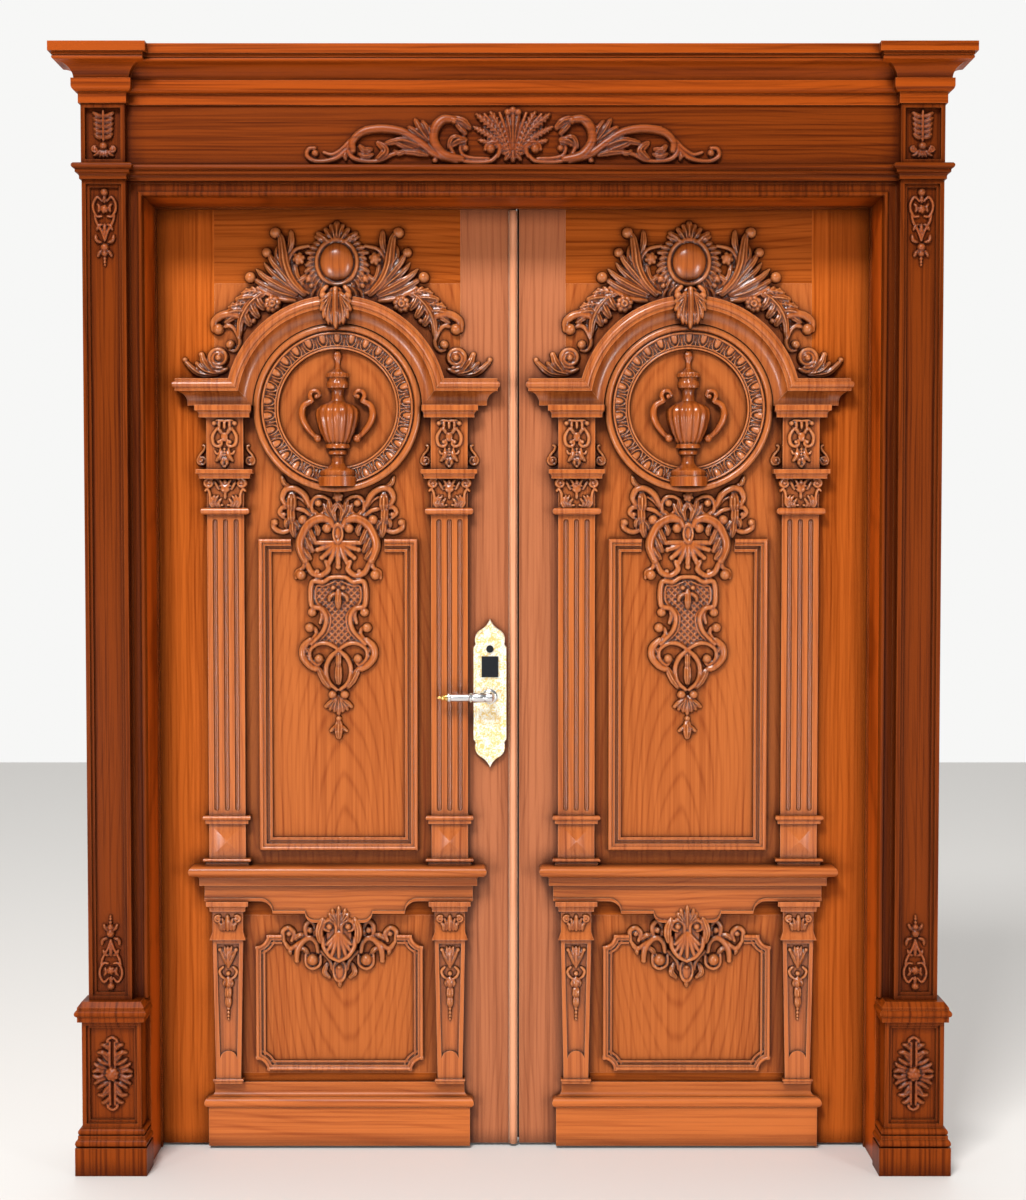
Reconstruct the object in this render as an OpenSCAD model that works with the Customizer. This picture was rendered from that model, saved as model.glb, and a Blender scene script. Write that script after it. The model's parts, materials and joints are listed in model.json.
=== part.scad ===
// Pair of carved timber door leaves hung in a timber frame.
// Millimetres, +Z up. The front faces -Y, X = 0 is the centre line, Z = 0 is the floor,
// and Y = 0 halves the whole depth.

/* [Opening] */
// Clear width between the jamb linings
opening_w = 1632; // [1590:1:1700]
// Clear height under the head lining
opening_h = 2165; // [2130:1:2240]

/* [Clearances] */
// Gap between a leaf's edge and the jamb
leaf_gap = 3; // [2.5:0.5:4]
// Gap between the two leaves
meeting_gap = 6; // [5:0.5:8]
// Gap under the leaves
floor_gap = 6; // [4:1:10]
// Gap between a leaf's face and the stop
seal_gap = 2; // [1.5:0.5:4]
// Play of tongues, bolts and other hidden fits
joint_play = 0.3; // [0.2:0.05:0.4]
// Radial play of pins and spindles
pin_play = 0.05; // [0.03:0.01:0.09]

/* [Jambs] */
// Thickness of the jamb and head linings
jamb_t = 56; // [50:1:64]
// Lining in front of the leaves
stop_depth = 124; // [110:1:140]
// Leaf behind the lining
leaf_lap = 13; // [11:1:16]
// Height of the stop's lip
stop_lip = 3; // [2:0.5:5]
// Depth of the lip
stop_lip_d = 10; // [8:1:14]
// Radius of the wall anchor holes
anchor_r = 5; // [4:0.5:6]
// Depth of the wall anchor holes
anchor_depth = 36; // [30:1:44]
// Anchor rows, front to back
anchor_row = 70; // [60:1:84]
// Height of the lower anchors
anchor_z = 300; // [200:1:400]
// Lower to upper anchors
anchor_rise = 1600; // [1500:1:1700]

/* [Casing] */
// Width of the architrave
architrave_w = 32; // [28:1:38]
// Thickness of the architrave
architrave_t = 25; // [22:1:30]
// Width of a casing pilaster
pilaster_w = 96; // [88:1:106]
// Thickness of a casing pilaster
pilaster_t = 42; // [38:1:48]
// Border of the casing's sunk panels
sunk_border = 9; // [7:1:12]
// Width of the step inside that border
sunk_step = 7; // [5:1:9]
// Depth of the sunk panels
sunk_depth = 12; // [9:1:15]
// Height of the plinth blocks
plinth_h = 386; // [360:1:410]
// Depth of the plinth die from the wall
plinth_t = 60; // [55:1:68]
// Die past the pilaster
plinth_out = 12; // [8:1:16]
// Die short of the lining
plinth_in = 9; // [6:1:12]
// Reach of the plinth mouldings
plinth_reach = 14; // [11:1:17]
// Height of the plinth foot
foot_h = 62; // [54:1:72]
// Height of the plinth base moulding
base_h = 42; // [36:1:48]
// Height of the plinth cap
cap_h = 44; // [38:1:50]

/* [Entablature] */
// Height of the impost moulding
impost_h = 34; // [30:1:40]
// Reach of the impost moulding
impost_reach = 18; // [15:1:21]
// Height of the frieze
frieze_h = 130; // [122:1:145]
// Thickness of the frieze board
frieze_t = 25; // [22:1:30]
// Thickness of the frieze blocks
block_t = 46; // [44:1:54]
// Height of the cornice
cornice_h = 120; // [110:1:132]
// Reach of the cornice
cornice_reach = 57; // [50:1:64]

/* [Leaves] */
// Thickness of the stiles and rails
leaf_t = 45; // [42:1:50]
// Width of the hinge stile
hinge_stile_w = 146; // [140:1:152]
// Width of the lock stile to the centre line
lock_stile_w = 120; // [114:1:126]
// Left leaf past the centre line
meeting_shift = 8; // [6:1:10]
// Height of the top rail
top_rail_h = 184; // [170:1:196]
// Height of the middle rail
mid_rail_h = 120; // [105:1:135]
// Height of the bottom rail
bottom_rail_h = 165; // [155:1:175]
// Thickness of the panels
panel_t = 30; // [26:1:34]
// Length of tongues and tenons
tongue_l = 12; // [10:1:15]
// Thickness of tongues and tenons
tongue_t = 10; // [8:1:12]
// Width of the astragal strip
astragal_w = 20; // [18:1:22]
// Thickness of the astragal strip
astragal_t = 9; // [7:1:11]
// Astragal past the left leaf's edge
astragal_lap = 2; // [1.5:0.5:2]
// Thickness of the seal between the leaves
seal_t = 5; // [4:0.5:6]
// Depth of the seal's groove in the right leaf
seal_d = 6; // [5:0.5:8]
// Seal from the leaf's back
seal_inset = 2; // [1.5:0.5:3]
// Play between the seal and the left leaf
seal_play = 1; // [0.8:0.1:1.2]

/* [Hinges] */
// Hinges to a leaf
hinge_n = 4; // [3:1:4]
// Length of a hinge
hinge_l = 125; // [110:1:140]
// Width of a hinge plate
hinge_plate_w = 34; // [30:1:36]
// Thickness of a hinge plate
hinge_plate_t = 2.5; // [2:0.25:3]
// Outer radius of the knuckles
knuckle_r = 7; // [6.5:0.25:8]
// Radius of the hinge pin
pin_r = 4; // [3.5:0.25:4.25]
// Gap between knuckles
knuckle_gap = 0.4; // [0.3:0.05:0.6]
// Timber to the knuckles
knuckle_clear = 1; // [0.75:0.25:1.5]
// Leaf's end to the first hinge
hinge_inset = 170; // [150:1:200]

/* [Lock] */
// Meeting edge to the spindle
backset = 61; // [58:1:66]
// Height of the spindle above the floor
lever_z = 1049; // [1020:1:1080]
// Lock plate's middle above the spindle
plate_rise = 6; // [0:1:12]
// Width of the lock plates
lock_plate_w = 76; // [72:1:82]
// Height of the lock plates
lock_plate_h = 343; // [330:1:360]
// Thickness of the lock plates
lock_plate_t = 14; // [12:1:16]
// Radius of a lever's neck
neck_r = 9; // [8:0.5:10]
// Leaf to the middle of a grip
lever_out = 48; // [44:1:54]
// Lever from spindle to tip
lever_l = 121; // [110:1:130]
// Radius of a grip
grip_r = 12.5; // [11:0.5:14]
// Length of the finial on a grip
finial_l = 24; // [20:1:28]
// Side of the square spindle
spindle_w = 8; // [7:0.5:9]
// Width of the keypad
keypad_w = 38; // [34:1:42]
// Height of the keypad
keypad_h = 48; // [44:1:52]
// Thickness of the keypad and the eye
keypad_t = 4; // [3:0.5:5]
// Keypad's middle above the spindle
keypad_rise = 68; // [64:1:74]
// Radius of the round eye
eye_r = 8.5; // [7:0.5:10]
// Eye above the spindle
eye_rise = 109; // [104:1:114]
// Thickness of the lock case
case_t = 18; // [16:1:20]
// Height of the lock case
case_h = 220; // [200:1:240]
// Depth of the lock case behind the forend
case_d = 88; // [84:1:92]
// Thickness of the forend and the strike plate
forend_t = 3; // [2.5:0.5:4]
// Width of the forend and the strike plate
forend_w = 26; // [24:1:28]
// Height of the forend and the strike plate
forend_h = 280; // [265:1:300]
// Thickness of the bolts
bolt_t = 11; // [9:1:12]
// Length of the bolts
bolt_l = 46; // [42:1:48]
// Height of the latch bolt
latch_h = 20; // [16:1:24]
// Height of the deadbolt
deadbolt_h = 36; // [30:1:42]
// Deadbolt below the spindle
deadbolt_drop = 62; // [58:1:68]
// Depth of the strike pockets
strike_depth = 18; // [16:1:22]
// Radius of the flush bolts
rod_r = 6; // [5:0.5:7]
// Length of the flush bolts
rod_l = 180; // [160:1:200]
// Right meeting edge to the flush bolts
rod_inset = 22; // [20:1:26]
// Depth of the bolt's socket in the head
socket_depth = 22; // [18:1:26]

/* [Arch and roundel] */
// Crest's top to the head lining
crest_margin = 33; // [28:1:45]
// Outer radius of the roundel ring
roundel_r = 193; // [185:1:200]
// Width of the ring
ring_w = 59; // [54:1:64]
// Number of eggs in the ring
egg_n = 30; // [24:1:32]
// Radius of an egg
egg_r = 10; // [9:0.5:11]
// Width of the arch moulding
arch_w = 60; // [55:1:65]
// Thickness of the arch's inner edge
arch_t = 10; // [8:1:13]
// Reach of the arch past that
arch_reach = 34; // [30:1:38]
// Arch's foot above the roundel's centre
spring_rise = 6; // [2:1:10]
// Gap between neighbouring carvings
carve_gap = 1; // [0.6:0.1:1.2]

/* [Columns] */
// Column's axis from the ornament axis
column_x = 256; // [250:1:262]
// Half width of the arch's foot at a column
ear_w = 82; // [78:1:88]
// Width of a column's shaft
shaft_w = 84; // [78:1:90]
// Thickness of a column's shaft
shaft_t = 17; // [14:1:20]
// Width of a flute
flute_w = 12; // [10:0.5:14]
// Pitch of the flutes
flute_pitch = 24; // [20:1:26]
// Shaft's end to the flutes
flute_end = 16; // [12:1:24]
// Height of the pedestal's base
ped_base_h = 16; // [13:1:20]
// Height of the pedestal's die
ped_die_h = 80; // [72:1:88]
// Height of the pedestal's cap
ped_cap_h = 19; // [16:1:23]
// Reach of the pedestal's mouldings
ped_reach = 13; // [11:1:15]
// Height of the pyramid on the die
pyramid_t = 12; // [9:1:15]
// Height of the necking bead
necking_h = 16; // [13:1:18]
// Height of the capital
capital_h = 66; // [60:1:72]
// Height of the ledge over the capital
ledge_h = 21; // [18:1:25]
// Reach of the ledge
ledge_reach = 22; // [19:1:25]
// Height of the console block
console_h = 118; // [110:1:126]
// Thickness of the console block
console_t = 22; // [19:1:25]
// Height of the bed moulding
bed_h = 28; // [24:1:32]
// Reach of the bed moulding
bed_reach = 24; // [21:1:27]

/* [Panel mouldings] */
// Width over the upper moulding
upper_w = 366; // [356:1:374]
// Upper moulding's top to the roundel's centre
upper_drop = 298; // [288:1:310]
// Upper moulding's foot to the shelf
upper_foot = 32; // [26:1:40]
// Opening in the top run for the pendant
upper_open = 214; // [206:1:224]
// Width of the upper moulding
upper_bead_w = 30; // [26:1:34]
// Height of the upper moulding
upper_bead_t = 17; // [14:1:20]
// Width over the lower moulding
lower_w = 388; // [378:1:398]
// Height over the lower moulding
lower_h = 317; // [307:1:325]
// Lower moulding's foot to the skirting
lower_foot = 27; // [22:1:32]
// Opening in the top run for the cartouche
lower_open = 266; // [262:1:272]
// Radius of the notched corners
notch_r = 26; // [22:1:30]
// Width of the lower moulding
lower_bead_w = 22; // [19:1:25]
// Height of the lower moulding
lower_bead_t = 14; // [12:1:17]

/* [Shelf, herms and skirting] */
// Width of the apron
apron_w = 618; // [606:1:630]
// Thickness of the apron
apron_t = 20; // [17:1:23]
// Height of the apron at its ends
apron_h = 37; // [33:1:42]
// Further drop of the apron's middle
apron_drop = 29; // [26:1:33]
// Half width of that drop
apron_drop_w = 181; // [175:1:187]
// Further drop of the apron's tip
apron_tip = 21; // [18:1:24]
// Half width of the tip
apron_tip_w = 56; // [52:1:62]
// Height of the apron's rim
apron_rim = 7; // [5:1:9]
// Thickness of the rim
apron_rim_t = 4; // [3:0.5:6]
// Height of the shelf
shelf_h = 46; // [42:1:52]
// Reach of the shelf
shelf_reach = 32; // [28:1:36]
// Height of a herm
herm_h = 425; // [415:1:440]
// Width of a herm at its top
herm_w = 70; // [66:1:76]
// Width of a herm at its foot
herm_foot_w = 57; // [52:1:62]
// Thickness of a herm
herm_t = 20; // [17:1:23]
// Height of a herm's foot moulding
herm_base_h = 11; // [9:1:14]
// Height of a herm's neck
herm_neck_h = 18; // [15:1:22]
// Height of a herm's capital
herm_cap_h = 48; // [42:1:54]
// Height of a herm's abacus
herm_abacus_h = 24; // [20:1:28]
// Reach of a herm's mouldings
herm_reach = 13; // [10:1:15]
// Border of a herm's sunk panel
herm_border = 9; // [7:1:11]
// Depth of a herm's sunk panel
herm_sunk = 6; // [4:1:8]
// Width of the skirting's board
skirting_w = 604; // [594:1:612]
// Thickness of the skirting's board
skirting_t = 22; // [19:1:25]
// Height of the skirting
skirting_h = 146; // [138:1:152]
// Reach of the skirting's bead
skirting_reach = 9; // [7:1:11]

/* [Carvings] */
// Height of the pendant
pendant_h = 605; // [590:1:620]
// Width of the cartouche
cartouche_w = 264; // [256:1:270]
// Width of the frieze carving
frieze_carving_w = 896; // [860:1:930]
// Height of the drops in the pilasters
drop_h = 172; // [160:1:180]
// Height of the rosettes on the plinths
rosette_h = 162; // [152:1:172]
// Height of the urn
urn_h = 311; // [300:1:312]
// Foot of the urn above the ring's outer edge
urn_seat = 14.8; // [14:0.2:20]

/* [Hidden] */

$fn = 64;
// Overrun of every cutting tool
over = 1;
frame_tone = "#6f3a1c";
leaf_tone = "#a8602f";
carved_tone = "#8f4c24";
metal_tone = "#d8c48a";
steel_tone = "#9aa0a6";
dark_tone = "#303236";

lining_x = opening_w / 2;
leaf_x = lining_x + leaf_lap;
rebate_x = leaf_x + leaf_gap;
jamb_x = lining_x + jamb_t;
pilaster_x0 = lining_x + architrave_w;
pilaster_x1 = pilaster_x0 + pilaster_w;
pilaster_x = (pilaster_x0 + pilaster_x1) / 2;
plinth_w = pilaster_x1 + plinth_out - lining_x - plinth_in;
plinth_x = lining_x + plinth_in + plinth_w / 2;
leaf_z0 = floor_gap;
leaf_z1 = opening_h + leaf_lap;
rebate_z = leaf_z1 + leaf_gap;
head_z = opening_h + jamb_t;
impost_z = opening_h + architrave_w;
frieze_z = impost_z + impost_h;
cornice_z = frieze_z + frieze_h;

lever_stand = lever_out + grip_r;
face_y = (seal_gap + stop_depth + block_t + cornice_reach - leaf_t - lever_stand) / 2;
back_y = face_y + leaf_t;
stop_y = face_y - seal_gap;
wall_y = stop_y - stop_depth;
tongue_y = face_y + panel_t / 2;

stile_x = leaf_x - hinge_stile_w;
axis_x = -(stile_x + lock_stile_w) / 2;
left_edge = meeting_shift;
right_edge = -(meeting_shift + meeting_gap);
pin_x = leaf_x + leaf_gap / 2;
pin_y = back_y + knuckle_clear + knuckle_r;
hinge_step = (leaf_z1 - leaf_z0 - 2 * hinge_inset - hinge_l) / (hinge_n - 1);
knuckle_n = 5;
knuckle_l = hinge_l / knuckle_n;
spindle_x = left_edge - backset;
plate_z = lever_z + plate_rise;
keypad_span = [keypad_rise - keypad_h / 2, keypad_rise + keypad_h / 2];
mid_y = face_y + leaf_t / 2;
rod_x = right_edge - rod_inset;
seal_y = [back_y - seal_inset - seal_t, back_y - seal_inset];

skirting_z = leaf_z0 + skirting_h;
apron_z = skirting_z + herm_h;
shelf_z = apron_z + apron_h;
column_z = shelf_z + shelf_h;
arch_r0 = roundel_r + carve_gap;
arch_r1 = arch_r0 + arch_w;
// One square of the carver's grid on the crest, as a share of the arch
crest_unit_share = 0.905;
crest_unit = arch_r1 * crest_unit_share;
crest_rise_share = 1.84;
roundel_z = opening_h - crest_margin - crest_unit * crest_rise_share;
ear_z = roundel_z + spring_rise;
bed_z = ear_z - bed_h;
console_z = bed_z - console_h;
ledge_z = console_z - ledge_h;
capital_z = ledge_z - capital_h;
necking_z = capital_z - necking_h;
shaft_z = column_z + ped_base_h + ped_die_h + ped_cap_h;
upper_z1 = roundel_z - upper_drop;
upper_z0 = column_z + upper_foot;
lower_z0 = skirting_z + lower_foot;
lower_z1 = lower_z0 + lower_h;

// Block between two corners
module bar(x, y, z) {
  translate([x[0], y[0], z[0]]) cube([x[1] - x[0], y[1] - y[0], z[1] - z[0]]);
}

// The same thing on both sides of the centre line
module pair() {
  for (side = [0, 1]) mirror([side, 0, 0]) children();
}

// Straight moulding along X: the profile is drawn as reach and height in front of a core
module run(length, d, h) {
  rotate([90, 0, -90]) linear_extrude(height = length, center = true) {
    translate([-d, 0]) square([d, h]);
    children();
  }
}

// Block whose moulding returns round the front and both sides
module wrapped(w, d, h, reach) {
  intersection() {
    run(w + 2 * (reach + over), d, h) children();
    translate([0, d, 0]) rotate([90, 0, 0]) linear_extrude(height = d + reach + over) {
      translate([-w / 2, 0]) square([w, h]);
      for (side = [0, 1]) mirror([side, 0]) translate([w / 2, 0]) children();
    }
  }
}

// Fillet of a profile: reach, foot and head
module fillet(reach, z0, z1) {
  translate([-over, z0]) square([reach + over, z1 - z0]);
}

// Hollow quarter of a profile that widens upwards from its foot
module cove(reach, z0, r) {
  difference() {
    fillet(reach, z0, z0 + r);
    translate([reach, z0]) circle(r = r);
  }
}

// Rounded bead of a profile
module bead(reach, z0, z1) {
  r = (z1 - z0) / 2;
  fillet(reach - r, z0, z1);
  translate([reach - r, z0 + r]) circle(r = r);
}

// Sunk panel cut into a front face: outer box, then a deeper inner one
module sunk(x, z, depth) {
  step_share = 0.5;
  bar(x, [-over, depth * step_share], z);
  bar([x[0] + sunk_step, x[1] - sunk_step], [-over, depth], [z[0] + sunk_step, z[1] - sunk_step]);
}

// Jamb on the left: lining in front, rebate behind, lip along the stop
module side_jamb() {
  difference() {
    union() {
      bar([-jamb_x, -lining_x], [wall_y, stop_y], [0, opening_h]);
      bar([-jamb_x, -rebate_x], [stop_y - over, back_y], [0, opening_h]);
      bar([-jamb_x, -rebate_x], [stop_y, back_y], [opening_h - over, rebate_z]);
      bar([-lining_x - over, -lining_x + stop_lip], [stop_y - stop_lip_d, stop_y],
        [0, opening_h - stop_lip]);
    }
    for (i = [0:hinge_n - 1])
      bar([-rebate_x - hinge_plate_t, -rebate_x + over], [back_y - hinge_plate_w, back_y + over],
        hinge_span(i));
    for (row = [-1, 1], level = [0, 1])
      translate([-jamb_x - over, wall_y + (stop_depth + row * anchor_row) / 2,
        anchor_z + level * anchor_rise])
        rotate([0, 90, 0]) cylinder(r = anchor_r, h = anchor_depth + over);
  }
}

module left_jamb() { color(frame_tone) side_jamb(); }

module right_jamb() { color(frame_tone) mirror([1, 0, 0]) side_jamb(); }

module head_jamb() {
  color(frame_tone) difference() {
    union() {
      bar([-jamb_x, jamb_x], [wall_y, stop_y], [opening_h, head_z]);
      bar([-jamb_x, jamb_x], [stop_y - over, back_y], [rebate_z, head_z]);
      bar([-lining_x, lining_x], [stop_y - stop_lip_d, stop_y],
        [opening_h - stop_lip, opening_h + over]);
    }
    translate([-rod_x, mid_y, rebate_z - over])
      cylinder(r = rod_r + joint_play, h = socket_depth + over);
  }
}

// Architrave section: across from the opening, and out from the wall
module architrave_profile() {
  flat_share = 0.7;
  bead_share = 0.32;
  r = architrave_w * bead_share / 2;
  square([architrave_w, architrave_t * flat_share]);
  square([2 * r, architrave_t - r]);
  translate([r, architrave_t - r]) circle(r = r);
  translate([architrave_w - r, 0]) square([r, architrave_t - r]);
}

module architrave() {
  w = architrave_w;
  color(frame_tone) translate([0, wall_y, 0]) {
    pair() intersection() {
      translate([-lining_x, 0, plinth_h]) rotate([0, 0, 180])
        linear_extrude(height = opening_h + w - plinth_h) architrave_profile();
      translate([0, over, 0]) rotate([90, 0, 0]) linear_extrude(height = architrave_t + 2 * over)
        polygon([[over - lining_x, 0], [over - lining_x, opening_h - over],
          [-lining_x - w - over, opening_h + w + over], [-lining_x - w - over, 0]]);
    }
    intersection() {
      translate([0, 0, opening_h]) rotate([180, -90, 0])
        linear_extrude(height = 2 * (lining_x + w), center = true) architrave_profile();
      translate([0, over, 0]) rotate([90, 0, 0]) linear_extrude(height = architrave_t + 2 * over)
        polygon([[over - lining_x, opening_h - over], [lining_x - over, opening_h - over],
          [lining_x + w + over, opening_h + w + over],
          [-lining_x - w - over, opening_h + w + over]]);
    }
  }
}

module pilasters() {
  color(frame_tone) pair() difference() {
    bar([-pilaster_x1, -pilaster_x0], [wall_y - pilaster_t, wall_y], [plinth_h, impost_z]);
    translate([0, wall_y - pilaster_t, 0])
      sunk([-pilaster_x1 + sunk_border, -pilaster_x0 - sunk_border],
        [plinth_h + sunk_border, impost_z - sunk_border], sunk_depth);
  }
}

module plinth_cap_profile() {
  share = 0.25;
  step = cap_h * share;
  slope_share = 0.6;
  bead(plinth_reach, step, 2.5 * step);
  fillet(plinth_reach * slope_share, 0, step + over);
  polygon([[-over, 2 * step], [plinth_reach * slope_share, 2 * step],
    [plinth_reach * slope_share, 3 * step], [0, cap_h], [-over, cap_h]]);
}

module plinth_base_profile() {
  share = 0.45;
  r = base_h * share / 2;
  top_share = 0.6;
  bead(plinth_reach, 0, 2 * r);
  fillet(plinth_reach * top_share, r, base_h * top_share + over);
  bead(plinth_reach * top_share, base_h * top_share, base_h);
}

module plinths() {
  die_z = foot_h + base_h;
  color(frame_tone) pair() translate([-plinth_x, wall_y - plinth_t, 0]) {
    bar([-plinth_w / 2 - plinth_reach, plinth_w / 2 + plinth_reach], [-plinth_reach, plinth_t],
      [0, foot_h]);
    translate([0, 0, foot_h]) wrapped(plinth_w, plinth_t, base_h, plinth_reach)
      plinth_base_profile();
    difference() {
      bar([-plinth_w / 2, plinth_w / 2], [0, plinth_t], [die_z, plinth_h - cap_h]);
      sunk([sunk_border - plinth_w / 2, plinth_w / 2 - sunk_border],
        [die_z + sunk_border, plinth_h - cap_h - sunk_border], sunk_depth);
    }
    translate([0, 0, plinth_h - cap_h]) wrapped(plinth_w, plinth_t, cap_h, plinth_reach)
      plinth_cap_profile();
  }
}

module impost_profile() {
  foot_share = 0.2;
  nose_share = 0.62;
  fillet(impost_reach * foot_share, 0, impost_h);
  cove(impost_reach * nose_share, impost_h * foot_share, impost_reach * nose_share * nose_share);
  fillet(impost_reach * nose_share, impost_h * foot_share + impost_reach * nose_share * nose_share,
    impost_h * nose_share + over);
  bead(impost_reach, impost_h * nose_share, impost_h);
}

module impost_moulding() {
  color(frame_tone) translate([0, wall_y, impost_z]) {
    translate([0, -frieze_t, 0]) run(2 * pilaster_x, frieze_t, impost_h) impost_profile();
    pair() translate([-pilaster_x, -block_t, 0])
      wrapped(pilaster_w, block_t, impost_h, impost_reach) impost_profile();
  }
}

module frieze_board() {
  color(frame_tone) bar([-pilaster_x0, pilaster_x0], [wall_y - frieze_t, wall_y], [frieze_z, cornice_z]);
}

module frieze_blocks() {
  color(frame_tone) pair() difference() {
    bar([-pilaster_x1, -pilaster_x0], [wall_y - block_t, wall_y], [frieze_z, cornice_z]);
    bar([-pilaster_x1 + sunk_border, -pilaster_x0 - sunk_border],
      [wall_y - block_t - over, wall_y - block_t + sunk_depth],
      [frieze_z + sunk_border, cornice_z - sunk_border]);
  }
}

// Cornice from the top: corona, fillet, bead, cove, fillet, ovolo and fascia
module cornice_profile() {
  corona_share = 0.83;
  fillet_share = 0.77;
  bead_share = 0.7;
  cove_share = 0.42;
  ovolo_share = 0.3;
  step_share = 0.88;
  nose_share = 0.8;
  foot_share = 0.08;
  h = cornice_h;
  r = h * (bead_share - cove_share);
  fillet(cornice_reach, h * corona_share, h);
  fillet(cornice_reach * step_share, h * fillet_share, h * corona_share + over);
  bead(cornice_reach * step_share, h * bead_share, h * fillet_share);
  fillet(cornice_reach * nose_share, h * bead_share, h * fillet_share + over);
  cove(cornice_reach * nose_share, h * cove_share, r);
  fillet(cornice_reach * ovolo_share, h * ovolo_share, h * cove_share + over);
  intersection() {
    fillet(cornice_reach, 0, h * ovolo_share + over);
    translate([cornice_reach * foot_share, h * ovolo_share])
      circle(r = cornice_reach * (ovolo_share - foot_share));
  }
  fillet(cornice_reach * foot_share, 0, h * cove_share);
}

module cornice() {
  color(frame_tone) translate([0, wall_y, cornice_z]) {
    translate([0, -frieze_t, 0]) run(2 * pilaster_x, frieze_t, cornice_h) cornice_profile();
    pair() translate([-pilaster_x, -block_t, 0])
      wrapped(pilaster_w, block_t, cornice_h, cornice_reach) cornice_profile();
  }
}

// Foot and head of a hinge
function hinge_span(i) =
  let (z = leaf_z0 + hinge_inset + i * hinge_step) [z, z + hinge_l];

// Hinge half on the left: plate in the timber and the knuckles of one parity
module hinge_half(plate, first) {
  for (i = [0:hinge_n - 1]) {
    z = hinge_span(i)[0];
    difference() {
      union() {
        bar(plate, [back_y - hinge_plate_w, back_y], hinge_span(i));
        for (k = [first:2:knuckle_n - 1])
          translate([0, 0, z + k * knuckle_l + knuckle_gap / 2]) {
            bar(plate, [back_y - over, pin_y], [0, knuckle_l - knuckle_gap]);
            translate([-pin_x, pin_y, 0])
              cylinder(r = knuckle_r, h = knuckle_l - knuckle_gap);
          }
      }
      translate([-pin_x, pin_y, z - over]) cylinder(r = pin_r + pin_play, h = hinge_l + 2 * over);
    }
  }
}

module frame_hinges() {
  head_share = 0.75;
  color(metal_tone) pair() {
    hinge_half([-rebate_x - hinge_plate_t, -rebate_x], 0);
    for (i = [0:hinge_n - 1])
      translate([-pin_x, pin_y, hinge_span(i)[0] - knuckle_gap]) {
        cylinder(r = pin_r, h = hinge_l + 2 * knuckle_gap);
        for (z = [-pin_r, hinge_l + 2 * knuckle_gap])
          translate([0, 0, z]) cylinder(r = knuckle_r * head_share, h = pin_r);
      }
  }
}

module left_hinges() color(metal_tone) {
  hinge_half([-leaf_x, -leaf_x + hinge_plate_t], 1);
}

// Groove for tongues in an edge at x, running from z[0] to z[1]
module groove(x, z) {
  bar(x, [tongue_y - tongue_t / 2 - joint_play, tongue_y + tongue_t / 2 + joint_play], z);
}

module left_hinge_stile() color(leaf_tone) {
  difference() {
    bar([-leaf_x, -stile_x], [face_y, back_y], [leaf_z0, leaf_z1]);
    groove([-stile_x - tongue_l - joint_play, -stile_x + over], [leaf_z0 - over, leaf_z1 + over]);
    for (i = [0:hinge_n - 1])
      bar([-leaf_x - over, -leaf_x + hinge_plate_t], [back_y - hinge_plate_w, back_y + over],
        hinge_span(i));
  }
}

module lock_stile(edge) {
  difference() {
    bar([-lock_stile_w, edge], [face_y, back_y], [leaf_z0, leaf_z1]);
    groove([-lock_stile_w - over, -lock_stile_w + tongue_l + joint_play],
      [leaf_z0 - over, leaf_z1 + over]);
  }
}

// Rail between two heights, with a stub tenon at each end and grooves where a panel meets it
module rail(z, grooved) {
  difference() {
    union() {
      bar([-stile_x, -lock_stile_w], [face_y, back_y], z);
      bar([-stile_x - tongue_l, -lock_stile_w + tongue_l],
        [tongue_y - tongue_t / 2, tongue_y + tongue_t / 2], z);
    }
    for (edge = grooved)
      groove([-stile_x - tongue_l - over, -lock_stile_w + tongue_l + over],
        edge == 0 ? [z[0] - over, z[0] + tongue_l + joint_play]
             : [z[1] - tongue_l - joint_play, z[1] + over]);
  }
}

bottom_rail_z = [leaf_z0, leaf_z0 + bottom_rail_h];
mid_rail_z = [column_z - mid_rail_h, column_z];
top_rail_z = [leaf_z1 - top_rail_h, leaf_z1];

module left_rails() color(leaf_tone) {
  rail(bottom_rail_z, [1]);
  rail(mid_rail_z, [0, 1]);
  rail(top_rail_z, [0]);
}

module panel(z) {
  bar([-stile_x, -lock_stile_w], [face_y, face_y + panel_t], z);
  bar([-stile_x - tongue_l, -lock_stile_w + tongue_l],
    [tongue_y - tongue_t / 2, tongue_y + tongue_t / 2], [z[0] - tongue_l, z[1] + tongue_l]);
}

module left_panels() color(leaf_tone) {
  panel([bottom_rail_z[1], mid_rail_z[0]]);
  panel([mid_rail_z[1], top_rail_z[0]]);
}

// Puts a leaf's ornament on its face: X from the ornament axis, Z from the floor
module on_face() {
  translate([axis_x, face_y, 0]) children();
}

// Arch moulding: reach past its thin edge, and width from there
module arch_profile() {
  foot_share = 0.12;
  cove_share = 0.41;
  bead_share = 0.63;
  rim_share = 0.9;
  nose_share = 0.82;
  r = arch_w * cove_share;
  cove_reach = arch_reach * foot_share + r;
  fillet(arch_reach * foot_share, 0, arch_w);
  cove(cove_reach, arch_w * foot_share, r);
  fillet(cove_reach, arch_w * (foot_share + cove_share), arch_w * bead_share + over);
  bead(arch_reach, arch_w * bead_share, arch_w * rim_share);
  fillet(arch_reach * nose_share, arch_w * bead_share, arch_w);
}

// Where the arch and its ears are mitred: inner and outer end of the cut, beside the axis
mitre_in = sqrt(pow(arch_r0, 2) - pow(spring_rise, 2));
mitre_out = sqrt(pow(arch_r1, 2) - pow(spring_rise + arch_w, 2));

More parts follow.
